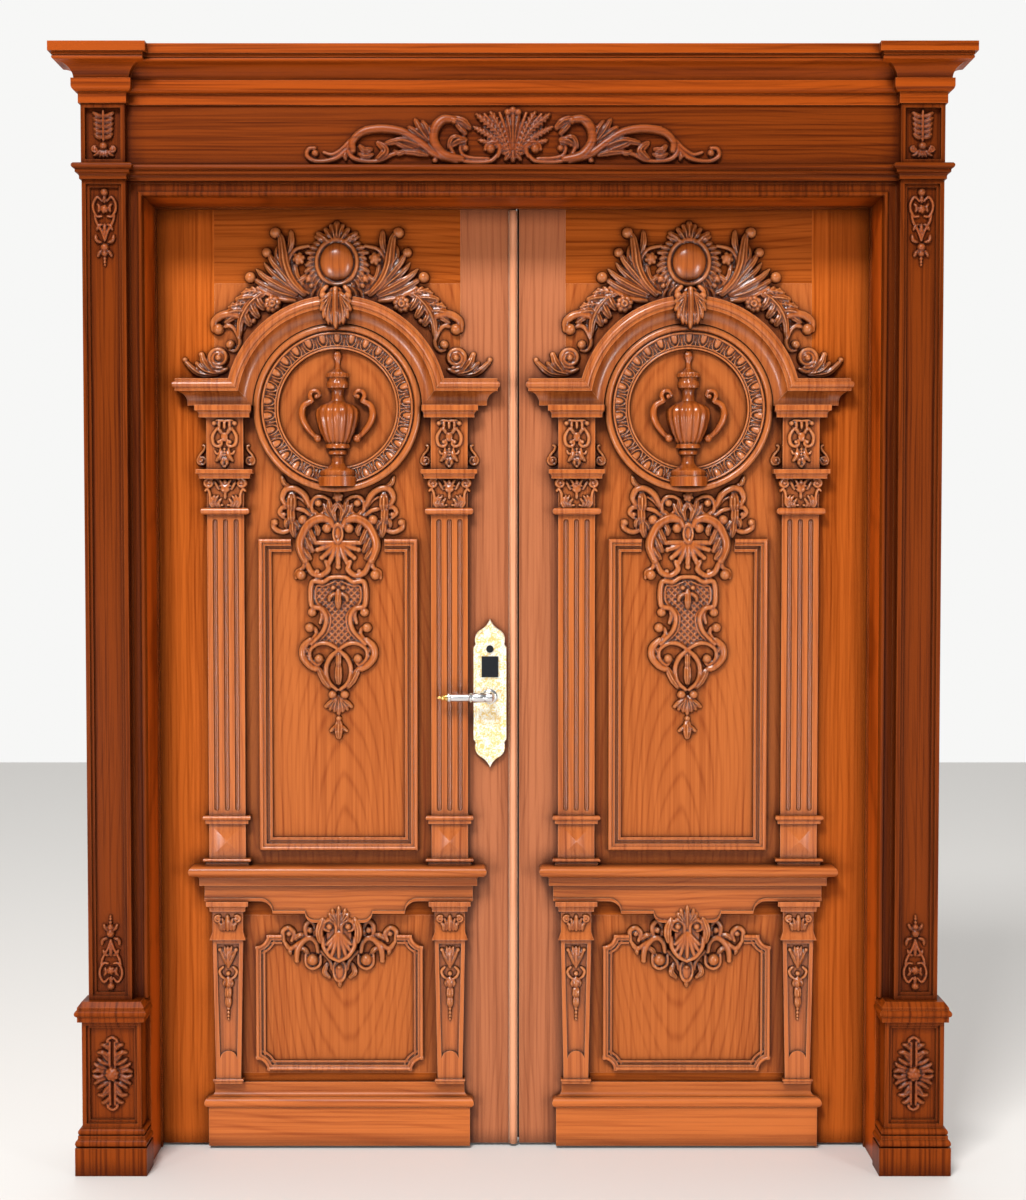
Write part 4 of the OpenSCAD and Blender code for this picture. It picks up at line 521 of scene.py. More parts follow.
def tube(path, radii, sides=14):
    """Closed tube along points of the row frame."""
    path = np.array(path, float)
    tangent = np.gradient(path, axis=0)
    tangent /= np.linalg.norm(tangent, axis=1)[:, None]
    up = np.array([0.0, 1.0, 0.0])
    verts = []
    for point, ahead, r in zip(path, tangent, radii):
        side = np.cross(ahead, up)
        side /= np.linalg.norm(side)
        over = np.cross(side, ahead)
        for k in range(sides):
            a = 2 * math.pi * k / sides
            verts.append(point + r * (math.cos(a) * side + math.sin(a) * over))
    return skinned("tube", verts, sides)


def lathe(profile, sides=48, shape=None, flat=1.0, axis="Z"):
    """Closed solid turned from (radius, height) points. shape(height, angle) scales the radius, and
    flat presses the half behind the axis down to that share."""
    verts = []
    for r, z in profile:
        for k in range(sides):
            a = 2 * math.pi * (k + 0.5) / sides
            m = r * (shape(z, a) if shape else 1.0)
            x, y = m * math.cos(a), m * math.sin(a)
            if y > 0:
                y *= flat
            verts.append((x, y, z))
    if axis == "-X":
        verts = [(-z, y, x) for x, y, z in verts]
    elif axis == "-Y":
        verts = [(x, -z, y) for x, y, z in verts]
    return skinned("turned", verts, sides)


# %% [markdown]
# ## Finishes
#
# Two node groups are shared. One draws the grain of a board from its growth rings, the other paints shade
# into hollows and paints edges pale, partly as rubbed wear and partly as highlight. Their formulas could be
# wired node by node, but a small class lets them be written as arithmetic.


# %% Wires of a node tree
class Wire:
    """A value in a node tree. Arithmetic on it adds maths nodes."""

    def __init__(self, tree, socket):
        self.tree = tree
        self.socket = socket

    def maths(self, operation, *others):
        return node(self.tree, "ShaderNodeMath", dict(enumerate((self, *others))), operation=operation)

    def __add__(self, other):
        return self.maths("ADD", other)

    def __sub__(self, other):
        return self.maths("SUBTRACT", other)

    def __rsub__(self, other):
        return node(self.tree, "ShaderNodeMath", {0: other, 1: self}, operation="SUBTRACT")

    def __mul__(self, other):
        return self.maths("MULTIPLY", other)

    def __pow__(self, other):
        return self.maths("POWER", other)

    def __abs__(self):
        return self.maths("ABSOLUTE")


def feed(socket, value):
    """Links a wire to a socket, or sets the socket to a plain value."""
    if isinstance(value, Wire):
        value.tree.links.new(value.socket, socket)
    else:
        socket.default_value = value


def node(tree, kind, values, output=0, **settings):
    """Adds a node, sets it up, feeds its inputs and gives the wire of one output."""
    n = tree.nodes.new(kind)
    for label, value in settings.items():
        setattr(n, label, value)
    for label, value in values.items():
        feed(n.inputs[label], value)
    return Wire(tree, n.outputs[output])


def noise(vector, scale, detail=2.0, rough=0.5):
    values = {"Vector": vector, "Scale": scale, "Detail": detail, "Roughness": rough}
    return node(vector.tree, "ShaderNodeTexNoise", values, "Fac")


def mix_colour(factor, a, b):
    return node(factor.tree, "ShaderNodeMix", {0: factor, 6: a, 7: b}, 2, data_type="RGBA")


def clamped(value, top=1.0):
    return node(value.tree, "ShaderNodeClamp", {0: value, "Max": top})


def split(vector):
    """Wires of a vector's x, y and z."""
    n = vector.tree.nodes.new("ShaderNodeSeparateXYZ")
    feed(n.inputs[0], vector)
    return [Wire(vector.tree, s) for s in n.outputs]


def new_group(name, inputs, outputs):
    """Node group with colour and number inputs. Gives it, the wires of its inputs and its outputs."""
    group = bpy.data.node_groups.new(name, "ShaderNodeTree")
    for label, value in inputs.items():
        kind = "NodeSocketColor" if isinstance(value, tuple) else "NodeSocketFloat"
        s = group.interface.new_socket(name=label, in_out="INPUT", socket_type=kind)
        s.default_value = value
    for label, kind in outputs.items():
        group.interface.new_socket(name=label, in_out="OUTPUT", socket_type=kind)
    given = group.nodes.new("NodeGroupInput").outputs
    wires = [Wire(group, given[label]) for label in inputs]
    return group, wires, group.nodes.new("NodeGroupOutput").inputs


# %% [markdown]
# ## Grain
#
# A sawn board shows its growth rings as lines, and as pointed flames where it was cut near the heart. A
# wave texture would look even and endless. Here the rings follow from the distance to the tree's heart,
# and noise adds the fibres and streaks.


# %% Grain group
def grain_group():
    group, given, out = new_group("Board grain", {
        "Lying": 0.0, "Heart": 0.0, "Seed": 0.0, "Figure": 0.5, "Rings": 70.0, "Flame": 0.03, "Streak": 1.0,
        "Pale": (0.5, 0.16, 0.05, 1), "Deep": (0.2, 0.05, 0.01, 1),
    }, {"Color": "NodeSocketColor", "Fibre": "NodeSocketFloat"})
    lying, heart, seed, figure, rings, flame, streaks, pale, deep = given
    x, y, z = split(node(group, "ShaderNodeTexCoord", {}, "Object"))
    upright = 1.0 - lying
    across = (abs(x) - heart) * upright + z * lying
    along = z * upright + x * lying + seed
    across_seed = across + seed * 0.37

    def speckle(wide, thick, long, scale=1.0, detail=2.0, rough=0.5):
        """Noise stretched by one share across the board, one through it and one along it."""
        place = {0: across_seed * wide, 1: y * thick, 2: along * long}
        return noise(node(group, "ShaderNodeCombineXYZ", place), scale, detail, rough)

    wobble = (speckle(2.4, 1.0, 0.9, 1.6) - 0.5) * 0.1
    depth = abs(along) * flame + 0.02
    reach = across + wobble
    radius = (reach * reach + depth * depth).maths("SQRT")
    year = radius * rings + speckle(40.0, 1.0, 2.0) * 0.45
    wave = (year * (2 * math.pi)).maths("SINE") * 0.5 + 0.5
    fibre = speckle(330.0, 330.0, 7.0, detail=3.0, rough=0.6)
    streak = speckle(150.0, 20.0, 1.7)
    tone = speckle(5.0, 1.0, 1.0, detail=1.0)
    amount = wave**6.0 * (tone * 1.2 + 0.3) * figure
    amount = amount + (fibre - 0.38) * 0.95 + (streak - 0.5) * streaks + (tone - 0.42) * 0.55
    feed(out["Color"], mix_colour(clamped(amount), pale, deep))
    feed(out["Fibre"], fibre)
    return group


# %% [markdown]
# ## Painted shade in hollows, pale edges
#
# The hollows of a carving are painted dark as the shade that falls in them, and its edges are painted pale,
# partly as rubbed wear and partly as highlight. That could be painted on each piece. The group finds hollows
# by ambient occlusion and the carving's own height, and edges by the bevel's normal, so that all the timber
# gets it alike.

# %% Group for painted shade in hollows and pale edges
HOLLOW_REACH = 0.045
EDGE_RADIUS = 0.0016
MOST_RUB_AND_SHEEN = 0.7


def shade_wear_sheen_group():
    group, given, out = new_group("Hollows and edges", {
        "Color": (0.5, 0.5, 0.5, 1), "Hollow": (0.05, 0.01, 0.004, 1), "Rub": (0.8, 0.4, 0.2, 1),
        "Depth": 0.8,
    }, {"Color": "NodeSocketColor", "Normal": "NodeSocketVector"})
    colour, hollow_shade, rub_and_sheen, depth = given
    # Ambient occlusion and the sunk parts of a carving pull the colour towards the hollow colour: painted
    # shade.
    shade = node(group, "ShaderNodeAmbientOcclusion", {"Distance": HOLLOW_REACH}, "AO", samples=2)
    open_air = shade**1.6
    carved = node(group, "ShaderNodeAttribute", {}, "Fac", attribute_name="Cavity")
    low = carved.maths("MINIMUM", 0.0) * -1.6
    high = carved.maths("MAXIMUM", 0.0)
    amount = ((1.0 - open_air) * 1.45 + low) * depth
    dark = mix_colour(clamped(amount), colour, hollow_shade)
    # Edges found by the bevel and the raised parts of a carving are lightened towards the edge colour: partly
    # rubbed wear, partly a painted highlight.
    soft = node(group, "ShaderNodeBevel", {"Radius": EDGE_RADIUS}, samples=2)
    flat = node(group, "ShaderNodeNewGeometry", {}, "Normal")
    dot = node(group, "ShaderNodeVectorMath", {0: soft, 1: flat}, "Value", operation="DOT_PRODUCT")
    edge = ((1.0 - dot) * 3.2 + high * 0.32) * open_air
    feed(out["Color"], mix_colour(clamped(edge, MOST_RUB_AND_SHEEN), dark, rub_and_sheen))
    feed(out["Normal"], soft)
    return group


GRAIN = grain_group()
SHADE_WEAR_SHEEN = shade_wear_sheen_group()
print("nodes in the groups:", len(GRAIN.nodes), "and", len(SHADE_WEAR_SHEEN.nodes))

# %% [markdown]
# ## Timber and metal
#
# The casing is darker than the leaves, and boards differ in tone and in the way their grain runs. Some tones
# paint light: the door lining is made far paler, as light on a part that lies in shade, the lock stiles carry
# a painted reflection and the meeting bead a painted highlight. Each could be a material drawn by itself.
# One function makes them all from the two groups, so that only colours and a few numbers differ.

# %% Timber and metal materials
FIBRE_BUMP = 0.16
FIBRE_HEIGHT = 0.0005
CASING_STREAK = 3.6
# Near-black colour of the painted shade in hollows.
HOLLOW_SHADE = (0.030, 0.004, 0.001, 1)


def new_material(name, colour):
    """Material with nodes, its node tree and the inputs of its shader."""
    material = bpy.data.materials.new(name)
    material.use_nodes = True
    material.diffuse_color = colour
    tree = material.node_tree
    return material, tree, tree.nodes["Principled BSDF"].inputs


def use_group(tree, group, **values):
    """Adds a group node, feeds its inputs and gives the wires of its outputs."""
    n = tree.nodes.new("ShaderNodeGroup")
    n.node_tree = group
    for label, value in values.items():
        feed(n.inputs[label], value)
    return [Wire(tree, s) for s in n.outputs]


def timber(name, lying, heart, seed, colours, figure, sheen=0.2, depth=0.85, rough=0.36, rings=70,
           flame=0.03, streak=2.2):
    """Timber with upright or lying grain in pale, deep and edge colours; edges show wear and a painted
    highlight, and depth sets the painted shade in hollows.
    """
    pale, deep, rub_and_sheen = colours
    material, tree, shader = new_material(name, pale)
    colour, fibre = use_group(tree, GRAIN, Lying=lying, Heart=heart, Seed=seed, Figure=figure, Rings=rings,
                              Flame=flame, Streak=streak, Pale=pale, Deep=deep)
    colour, normal = use_group(tree, SHADE_WEAR_SHEEN, Color=colour, Hollow=HOLLOW_SHADE, Rub=rub_and_sheen, Depth=depth)
    bump = {"Strength": FIBRE_BUMP, "Distance": FIBRE_HEIGHT, "Height": fibre, "Normal": normal}
    feed(shader["Base Color"], colour)
    feed(shader["Normal"], node(tree, "ShaderNodeBump", bump))
    feed(shader["Roughness"], rough)
    feed(shader["Specular IOR Level"], sheen)
    return material


# Each set is pale grain, deep grain and an edge colour that stands for rubbed wear and a painted highlight
# together.
LEAF = ((0.47, 0.122, 0.024, 1), (0.23, 0.042, 0.005, 1), (0.92, 0.50, 0.27, 1))
STILE = ((0.38, 0.084, 0.010, 1), (0.19, 0.032, 0.0025, 1), (0.50, 0.14, 0.03, 1))
# The lock stiles are paler and pinker than the hinge stiles: a painted reflection of a light in front of the
# door.
LOCK_STILE_PAINTED_SHEEN = ((0.40, 0.126, 0.048, 1), (0.23, 0.058, 0.017, 1), LEAF[2])
FRAME = ((0.21, 0.036, 0.0028, 1), (0.092, 0.0135, 0.0008, 1), (0.48, 0.15, 0.045, 1))
CARVED = ((0.40, 0.094, 0.014, 1), (0.18, 0.031, 0.003, 1), (0.84, 0.36, 0.135, 1))
# The meeting bead is much paler than the leaves: a painted highlight along its round face.
BEAD_PAINTED_HIGHLIGHT = ((0.72, 0.32, 0.17, 1), (0.50, 0.17, 0.07, 1), (0.95, 0.72, 0.55, 1))


def toned(colours, *shares):
    """The colours pale, deep and edge (rubbed wear with painted highlight), each multiplied by its share."""
    return [tuple(k * c for c in colour[:3]) + (1,) for colour, k in zip(colours, shares)]


def casing(name, lying, seed, k, sheen=0.06, figure=0.4, depth=0.85):
    """Dark timber of the casing, its tone set by k."""
    heart = 0.5 - 0.5 * lying
    return timber(name, lying, heart, seed, toned(FRAME, k, k, k), figure, sheen, depth, streak=CASING_STREAK)


# k makes each copy of the casing timber paler or darker: the frieze and impost darker, the cornice and head
# paler.
frame_upright = casing("Casing upright", 0, 0.3, 0.8)
frame_foot = casing("Casing foot", 0, 0.6, 1.05)
# The door lining is made 2.2 times paler than the casing: painted light on a part that lies in shade.
frame_lining = casing("Door lining", 0, 0.7, 2.2)
frame_lying = casing("Casing lying", 1, 1.7, 0.78)
frame_cornice = casing("Casing cornice", 1, 1.9, 1.5)
frame_carved = casing("Casing carved", 1, 2.9, 1.1, 0.25, 0.2, 1.0)
leaf_stile = timber("Leaf stile", 0, 0.3, 4.1, toned(STILE, 1.25, 1.25, 1), 0.3, 0.04)
leaf_lock = timber("Lock stile", 0, 0.5, 5.3, LOCK_STILE_PAINTED_SHEEN, 0.3, 0.3)
leaf_panel = timber("Leaf panel", 0, 0.39, -0.72, toned(LEAF, 0.9, 1, 1), 0.43, 0.16, rings=62, flame=0.2,
                    streak=1.6)
leaf_lying = timber("Leaf lying", 1, 0, 3.3, STILE, 0.4, 0.06)
leaf_ledge = timber("Leaf ledge", 1, 0, 2.3, toned(LEAF, 0.95, 1, 1), 0.4, 0.3, rough=0.3)
leaf_foot = timber("Leaf foot", 1, 0, 3.8, toned(LEAF, 1.1, 1.2, 1), 0.35, 0.25)
leaf_upright = timber("Leaf upright", 0, 0, 6.1, LEAF, 0.3, 0.45, 0.9, 0.26)
leaf_arch = timber("Leaf arch", 0, 0, 7.1, toned(LEAF, 0.92, 1, 1), 0.25, 0.5, 0.5, 0.26)
leaf_carved = timber("Leaf carved", 0, 0, 7.7, CARVED, 0.2, 0.46, 1.0, 0.22)
leaf_bead = timber("Meeting bead", 0, 0, 8.3, BEAD_PAINTED_HIGHLIGHT, 0.3)


def metal(name, colour, rough, metallic=1.0, speckle=None):
    """Plain metal or plastic, with specks of a second colour if one is given."""
    material, tree, shader = new_material(name, colour)
    feed(shader["Base Color"], colour)
    feed(shader["Roughness"], rough)
    feed(shader["Metallic"], metallic)
    if speckle:
        place = node(tree, "ShaderNodeTexCoord", {}, "Object")
        spots = noise(place, 330.0) + noise(place, 90.0, 1.0) * 0.5
        feed(shader["Base Color"], mix_colour(spots.maths("GREATER_THAN", 0.76) * 0.9, colour, speckle))
    return material


brass = metal("Hinge brass", (0.62, 0.43, 0.17, 1), 0.32)
steel = metal("Lock steel", (0.70, 0.70, 0.71, 1), 0.25)
gilt = metal("Gilt plate", (0.90, 0.87, 0.76, 1), 0.3, 0.2, (0.80, 0.53, 0.13, 1))
gold = metal("Finial gold", (0.83, 0.58, 0.20, 1), 0.24)
black = metal("Keypad black", (0.012, 0.013, 0.016, 1), 0.14, 0.0)
print("materials:", len(bpy.data.materials))

# %% [markdown]
# ## Plain joinery
#
# The straight timbers and mouldings stay as the CAD built them and only take a finish. They could be
# modelled again with bevels, but their shape is right. Splitting edges by angle keeps arrises crisp and
# round mouldings smooth.

# %% Finishes for the CAD nodes
CAD_ANGLE = 24
FINISH = {
    "left_jamb": frame_lining, "right_jamb": frame_lining, "head_jamb": frame_cornice,
    "architrave": frame_upright, "pilasters": frame_upright, "plinths": frame_foot,
    "impost_moulding": frame_lying, "frieze_board": frame_lying, "frieze_blocks": frame_upright,
    # The seal in the gap between the leaves is black, and its black also stands in for the shade in that gap.
    "cornice": frame_cornice, "frame_hinges": brass, "astragal": leaf_bead, "meeting_seal": black,
    "keypad": black, "back_escutcheon": gilt, "lock_case": steel, "latch_bolt": steel, "deadbolt": steel,
    "strike_plate": steel, "top_bolt": steel, "bottom_bolt": steel,
}
for side in ("left_", "right_"):
    FINISH.update({
        side + "hinge_stile": leaf_stile, side + "lock_stile": leaf_lock, side + "rails": leaf_lying,
        side + "panels": leaf_panel, side + "arch": leaf_arch, side + "roundel": leaf_carved,
        side + "columns": leaf_upright, side + "panel_mouldings": leaf_upright, side + "shelf": leaf_ledge,
        side + "herms": leaf_upright, side + "skirting": leaf_foot, side + "hinges": brass,
    })


def smooth_by_angle(o, limit):
    """Smooth shading with edges sharper than the limit kept crisp."""
    mesh = o.data
    mesh.polygons.foreach_set("use_smooth", [True] * len(mesh.polygons))
    weld = o.modifiers.new("Weld", "WELD")
    weld.merge_threshold = 1e-5
    crisp = o.modifiers.new("Crisp edges", "EDGE_SPLIT")
    crisp.split_angle = math.radians(limit)
    crisp.use_edge_sharp = False


for name, o in nodes.items():
    o.data.materials.clear()
    o.data.materials.append(FINISH.get(name, leaf_carved))
    if "custom_normal" in o.data.attributes:
        o.data.attributes.remove(o.data.attributes["custom_normal"])
    smooth_by_angle(o, CAD_ANGLE)
print("CAD nodes with a finish:", len(nodes))

# %% [markdown]
# ## Carved ornament
#
# Each table holds the left half of an ornament, and the strokes on its axis are added to both halves.
# Places are in squares of its grid, counted from a point on the axis.


# %% Small motifs
def flower(u, v, r, petals=6):
    """Open flower with a raised eye."""
    out = [ball(u, v, r * 0.95)]
    for k in range(petals):
        a = 2 * math.pi * (k + 0.25) / petals
        out.append(ball(u + 0.66 * r * math.cos(a), v + 0.66 * r * math.sin(a), r * 0.4, lift=r * 0.3))
    out.append(oval(u, v, r * 0.3, r * 0.3, r * 0.14, lift=r * 0.75))
    return out


def fan(w, root, *tips, lift=0.0):
    """Leaves from one root, each bent a little outwards."""
    out = []
    for tip in tips:
        du, dv = tip[0] - root[0], tip[1] - root[1]
        middle = (root[0] + 0.55 * du + 0.06 * dv, root[1] + 0.55 * dv - 0.06 * abs(du))
        out.append(leaf(w, root, middle, tip, lift=lift))
    return out


def volute(u, v, r, w, start, turns):
    """Open scroll over a sunk ground, with a round eye."""
    return [mass(r * 0.9, (u, v), (u + 0.2, v), lift=-0.8), scroll(u, v, r, w, start, turns, lift=0.5),
            ball(u, v, r * 0.34, lift=0.9)]


# %% [markdown]
# ## Crest
#
# Leaves and scrolls fan out from an oval boss over the arch, and a keystone leaf hangs on the arch. The
# leaves round the boss repeat, so a loop sets them. The others are placed one by one.

# %% Crest over the arch
crest = [
    mass(11, (-30, 113), (-44, 122), (-50, 138)), mass(9, (-48, 118), (-62, 124)),
    mass(8, (-72, 112), (-84, 106), (-92, 94)), mass(6, (-94, 92), (-97, 80)),
    leaf(5.4, (-33, 113), (-45, 126), (-51.5, 141), (-53.5, 155), (-55.5, 168), (-60, 176), lift=1.2),
    ball(-61, 173.5, 5.4, lift=1.5), leaf(3.8, (-49, 150), (-45.5, 163), (-45.5, 176)),
    leaf(3.8, (-44, 124), (-56, 143), (-59.5, 152), (-58.5, 162)),
    leaf(4.4, (-40, 117), (-56, 136), (-64, 146), (-68, 155), lift=0.8), ball(-69.5, 154, 4.8, lift=1.5),
    leaf(4, (-40, 115), (-57, 128), (-67, 137), (-72, 144)),
    leaf(4.2, (-41, 113), (-58, 121.5), (-71, 129), (-80, 137.5), lift=0.8),
    leaf(4.2, (-42, 110), (-59, 115), (-73, 122), (-84, 129)), ball(-86, 129.5, 5.4, lift=1.5),
    stem(3, (-42, 106), (-58, 108.5), (-71, 114.5), (-78.5, 119), lift=1.2),
    stem(2.4, (-28, 160.5), (-40, 157.5), (-47, 149), (-48, 139), (-44.5, 129), (-37, 118.5), (-28, 113.5),
         lift=1),
    leaf(3.4, (-42, 142), (-40, 131), (-33, 121)), leaf(3.2, (-30, 132), (-36, 127), (-43, 126)),
    ball(-25, 121, 3.4), ball(-12.5, 111, 3.8, lift=1.5),
    stem(2.6, (-8, 122), (-14, 119), (-18, 112), (-13, 108), lift=1),
    stem(2.2, (-17, 121), (-23, 116), (-25, 110)), frond(5.6, (-72, 112), (-83, 116), (-94, 114)),
    leaf(4.6, (-80, 110), (-91, 109), (-101, 107)), frond(5.6, (-82, 102), (-95, 103), (-107, 100)),
    leaf(4.6, (-88, 95), (-100, 96), (-112, 94)),
    leaf(4.4, (-70, 116), (-82, 108), (-91, 97), (-96, 84), (-97, 68), lift=1),
    leaf(4.8, (-80, 112), (-77, 104), (-72, 98)), leaf(4.8, (-86, 105), (-83, 97), (-78, 90)),
    leaf(4.6, (-92, 97), (-90, 89), (-86, 82)), ball(-83, 86.5, 3.2),
    stem(4.4, (-92, 90), (-103, 93), (-114, 92), (-121.5, 86), (-122, 78), lift=1),
    ball(-118, 78.5, 5.6, lift=1.5), stem(2.6, (-114, 80), (-107, 82), (-101, 77), (-97, 67)),
    leaf(3.4, (-99, 92), (-107, 88), (-112, 84)), ball(-106, 63, 4.6, lift=1),
    stem(2.4, (-97, 71), (-97, 63), (-101, 57.5), (-107, 58)), mass(9.5, (-118, 50), (-117, 50)),
    scroll(-118, 50, 10.3, 2.1, -70, -2.1, lift=1.4), ball(-118, 50, 3.6, lift=2),
    stem(2.6, (-110, 39), (-117, 36), (-124, 38)), leaf(4, (-120, 34), (-132, 37), (-141, 46)),
    leaf(4.2, (-124, 35), (-132, 45), (-135, 55)), ball(-135, 53, 3.2),
    leaf(3.6, (-122, 33), (-138, 35), (-153, 48)), ball(-151.5, 48, 2.8),
    leaf(3.2, (-122, 38), (-126, 45), (-129, 48)),
]
crest += flower(-38, 148, 6.2) + flower(-64, 103, 8.4, 8) + flower(-28, 128, 4.2, 5)
for k, angle in enumerate(range(122, 242, 11)):
    a = math.radians(angle)
    far = (33.5, 29.5, 31.5)[k % 3]
    crest.append(leaf(3, (20 * math.cos(a), 144 + 22 * math.sin(a)),
                      (26 * math.cos(a + 0.05), 144 + 27 * math.sin(a + 0.05)),
                      (far * math.cos(a + 0.14), 144 + (far + 1) * math.sin(a + 0.14))))
crest += fan(3.8, (-2, 162), (-20, 174), (-16, 169), (-12, 178), (-6, 182), (-1, 185), lift=0.8)
crest = mirrored(crest)
crest += [oval(0, 144.3, 19.8, 22.2, 2.4, lift=3), dome(0, 144.3, 17.4, 19.9, lift=1.5)]
keystone = mirrored(fan(3.4, (-3, 112), (-15, 103), (-14.5, 95), (-11.5, 88), (-7, 83), lift=0.6) + [
    leaf(3, (-2, 104), (-4, 93), (-3.5, 82)), mass(8, (0, 110), (0, 96)), mass(4, (0, 95), (0, 86)),
    stem(2.6, (-9, 118), (-13, 112), (-9, 107)), ball(-12, 109.5, 3.6, lift=1),
]) + [spine(3.4, 116, 96, 79, lift=2)]
print("crest strokes:", len(crest), "and keystone strokes:", len(keystone))

# %% [markdown]
# ## Pendant
#
# The pendant hangs on the upper panel: scrolls, a shell, a shield with a lattice and a tail of leaves. The
# lattice could be a pattern in the material, but cut into the height map it casts shadows.

# %% Pendant on the upper panel
pendant = [
    leaf(2.8, (-47, 52), (-53, 55), (-56, 63)),
    stem(3.6, (-28, 33), (-34, 44), (-43, 50), (-51, 49), (-55, 41), (-52, 34), lift=0.8),
    stem(1.6, (-27, 28), (-35, 38), (-44, 43)), leaf(5.4, (-46, 44), (-46, 35), (-46, 27)),
    leaf(4.6, (-47, 32), (-46.5, 23), (-46, 14)), leaf(4.2, (-45, 20), (-45, 10), (-43, 1)),
    leaf(3.2, (-46, 20), (-40, 13), (-39, 8)), leaf(3.2, (-46, 22), (-51, 17), (-52, 11)),
    stem(2.8, (-49, 31), (-55, 31), (-58, 26), (-54, 21)), ball(-54, 24, 3),
    stem(3.2, (-65, 17), (-63, 10), (-55, 6.5), (-47, 9)), ball(-63, 16, 3.6, lift=0.8),
    stem(2.8, (-42, 30), (-34, 28), (-27, 23), (-20, 21)), ball(-35, 18.5, 5.4, lift=0.6),
    leaf(3.4, (0, 36), (-5, 27), (-2, 16)), leaf(3.4, (-9, 40), (-7, 28), (-2, 17)),
    leaf(3.2, (-14, 34), (-10, 25), (-3, 17)),
    stem(2.4, (-9, 39), (-15, 42), (-22, 41), (-26, 35), (-25, 27), (-18, 24), (-13, 28), lift=0.8),
    ball(-19.5, 35.5, 3.8, lift=1.4), leaf(3.4, (-24, 28), (-20, 22), (-12, 20)),
    stem(5.2, (-6, 13), (-9, 18), (-18, 20.5), (-29, 14.5), (-36, 3), (-38, -8), (-33, -22), lift=0.6),
    stem(1.3, (-9, 19.5), (-18, 22.5), (-31, 16), (-38, 3), (-39.5, -8), (-35, -21), lift=4.6),
    ball(-11, 10.5, 5, lift=1.6), leaf(3.8, (-30, 12), (-26, 2), (-22, -6)),
    leaf(3.8, (-33, 4), (-29, -6), (-25, -14)), leaf(3.8, (-35, -6), (-32, -14), (-27, -21)),
    leaf(3.4, (-24, 16), (-20, 9), (-21, 3)), ball(-37, -36, 5.2, lift=1),
    stem(2.6, (-33, -21), (-35, -29), (-41, -33), (-42, -39)),
    stem(3.4, (-31, -24), (-27, -33), (-18, -37), (-10, -31), (-12, -23), lift=0.4), ball(-21, -33, 3),
    stem(2.8, (0, -38), (-8, -39), (-15, -43), (-26, -44), (-26.5, -66), (-17, -70), (-12, -79), (-15, -92),
         (-27, -105), lift=1.6),
    stem(1.3, (-4, -43), (-14, -47), (-22, -48), (-22, -63), (-12, -71), (-8, -80), (-11, -93), (-20, -103),
         lift=0.6),
    stem(3, (-25, -68), (-19, -69), (-16, -76), (-18, -84)), ball(-26, -73.5, 4.6, lift=1),
    ball(-28.5, -89, 4.8, lift=1), stem(2.6, (-25, -88), (-22, -94), (-26, -101)),
    stem(4, (-28, -101), (-35, -109), (-35, -119), (-27, -128), (-21, -130), lift=0.4),
    leaf(2.8, (-33, -106), (-31, -112), (-27, -114)), leaf(2.8, (-36, -113), (-32, -119), (-29, -120)),
    stem(2.4, (0, -111), (-10, -105), (-20, -105), (-28, -111), (-28, -120), (-21, -126), (-16, -121),
         lift=0.8),
    ball(-19.5, -120, 4.6, lift=0.8),
    stem(2.8, (0, -111), (-9, -120), (-12.5, -131), (-10, -143), (-2, -151), lift=0.6),
    leaf(3.8, (-20, -129), (-15, -140), (-8, -150)), ball(-23, -130.5, 3), ball(-6, -156, 4.4, lift=0.6),
    leaf(2.4, (-1, -186), (-6, -191), (-9, -193)), leaf(2.4, (-2, -54), (-8, -58), (-9, -63), lift=1),
    ball(-5, -49, 2.6, lift=1),
]
pendant += fan(3, (-1, -158), (-14, -169), (-9, -172), (-4, -174))
for tip in ((-22, -4), (-20.5, -11), (-16, -19), (-9, -24)):
    pendant += [stem(3.2, (-2, -4), (tip[0] * 0.6, -4 + (tip[1] + 4) * 0.6), tip, lift=0.2),
                ball(tip[0], tip[1], 3.0)]
pendant = mirrored(pendant) + [
    stem(3.2, (0, -4), (0, -16), (0, -28), lift=0.2), ball(0, -28, 3.2),
    oval(0, 5.5, 4.6, 8.6, 1.8, lift=2.4), dome(0, 5.5, 3.4, 7.2, lift=2), spine(3.4, -114, -122, -130),
    spine(4.2, -126, -136, -146), spine(3, -160, -168, -177), ball(0, -180, 3),
    spine(4.4, -183, -191, -200), spine(3.6, -52, -60, -70, lift=1),
] + flower(0, 42, 5.2)
pendant.append(plate(
    (-26, -45), (-14, -44), (-5, -39), (5, -39), (14, -44), (26, -45), (26, -66), (17, -70), (12, -79),
    (15, -92), (27, -105), (10, -105), (0, -111), (-10, -105), (-27, -105), (-15, -92), (-12, -79),
    (-17, -70), (-26, -66), lift=0.6))
print("pendant strokes:", len(pendant))

# %% [markdown]
# ## Cartouche
#
# A palmette between scrolls hangs over the lower panel. It stands further out than its scrolls, so it is a
# carving of its own with a deeper back.

# %% Cartouche under the apron
palmette = [
    leaf(3, (-2, 13), (-5, 20), (-6.5, 27)), leaf(3, (-2, 12), (-7, 18), (-10, 23)),
    leaf(2.8, (-3, 11), (-8, 15), (-12, 17)),
    stem(2.2, (-3, 3), (-3, 10), (-8, 15), (-14, 13), (-15, 7), (-10, 4.5), lift=0.6),
    ball(-9.5, 9, 3.4, lift=1), leaf(4.2, (-16, 16), (-19.5, 5), (-18, -8)),
    stem(2.2, (-16, -2), (-15, -12), (-9, -21), (0, -26), lift=0.8),
]
for tip in ((-12, -9), (-11, -15), (-7, -20)):
    palmette.append(stem(2.6, (-0.5, 3), (tip[0] * 0.6, 3 + (tip[1] - 3) * 0.6), tip, lift=0.4))
palmette = mirrored(palmette) + [
    mass(12.5, (0, 6), (0, -8)), mass(7, (0, -8), (0, -18)), spine(3.2, 6, 18, 30),
    stem(2.6, (0, 3), (0, -10), (0, -22), lift=0.4),
]
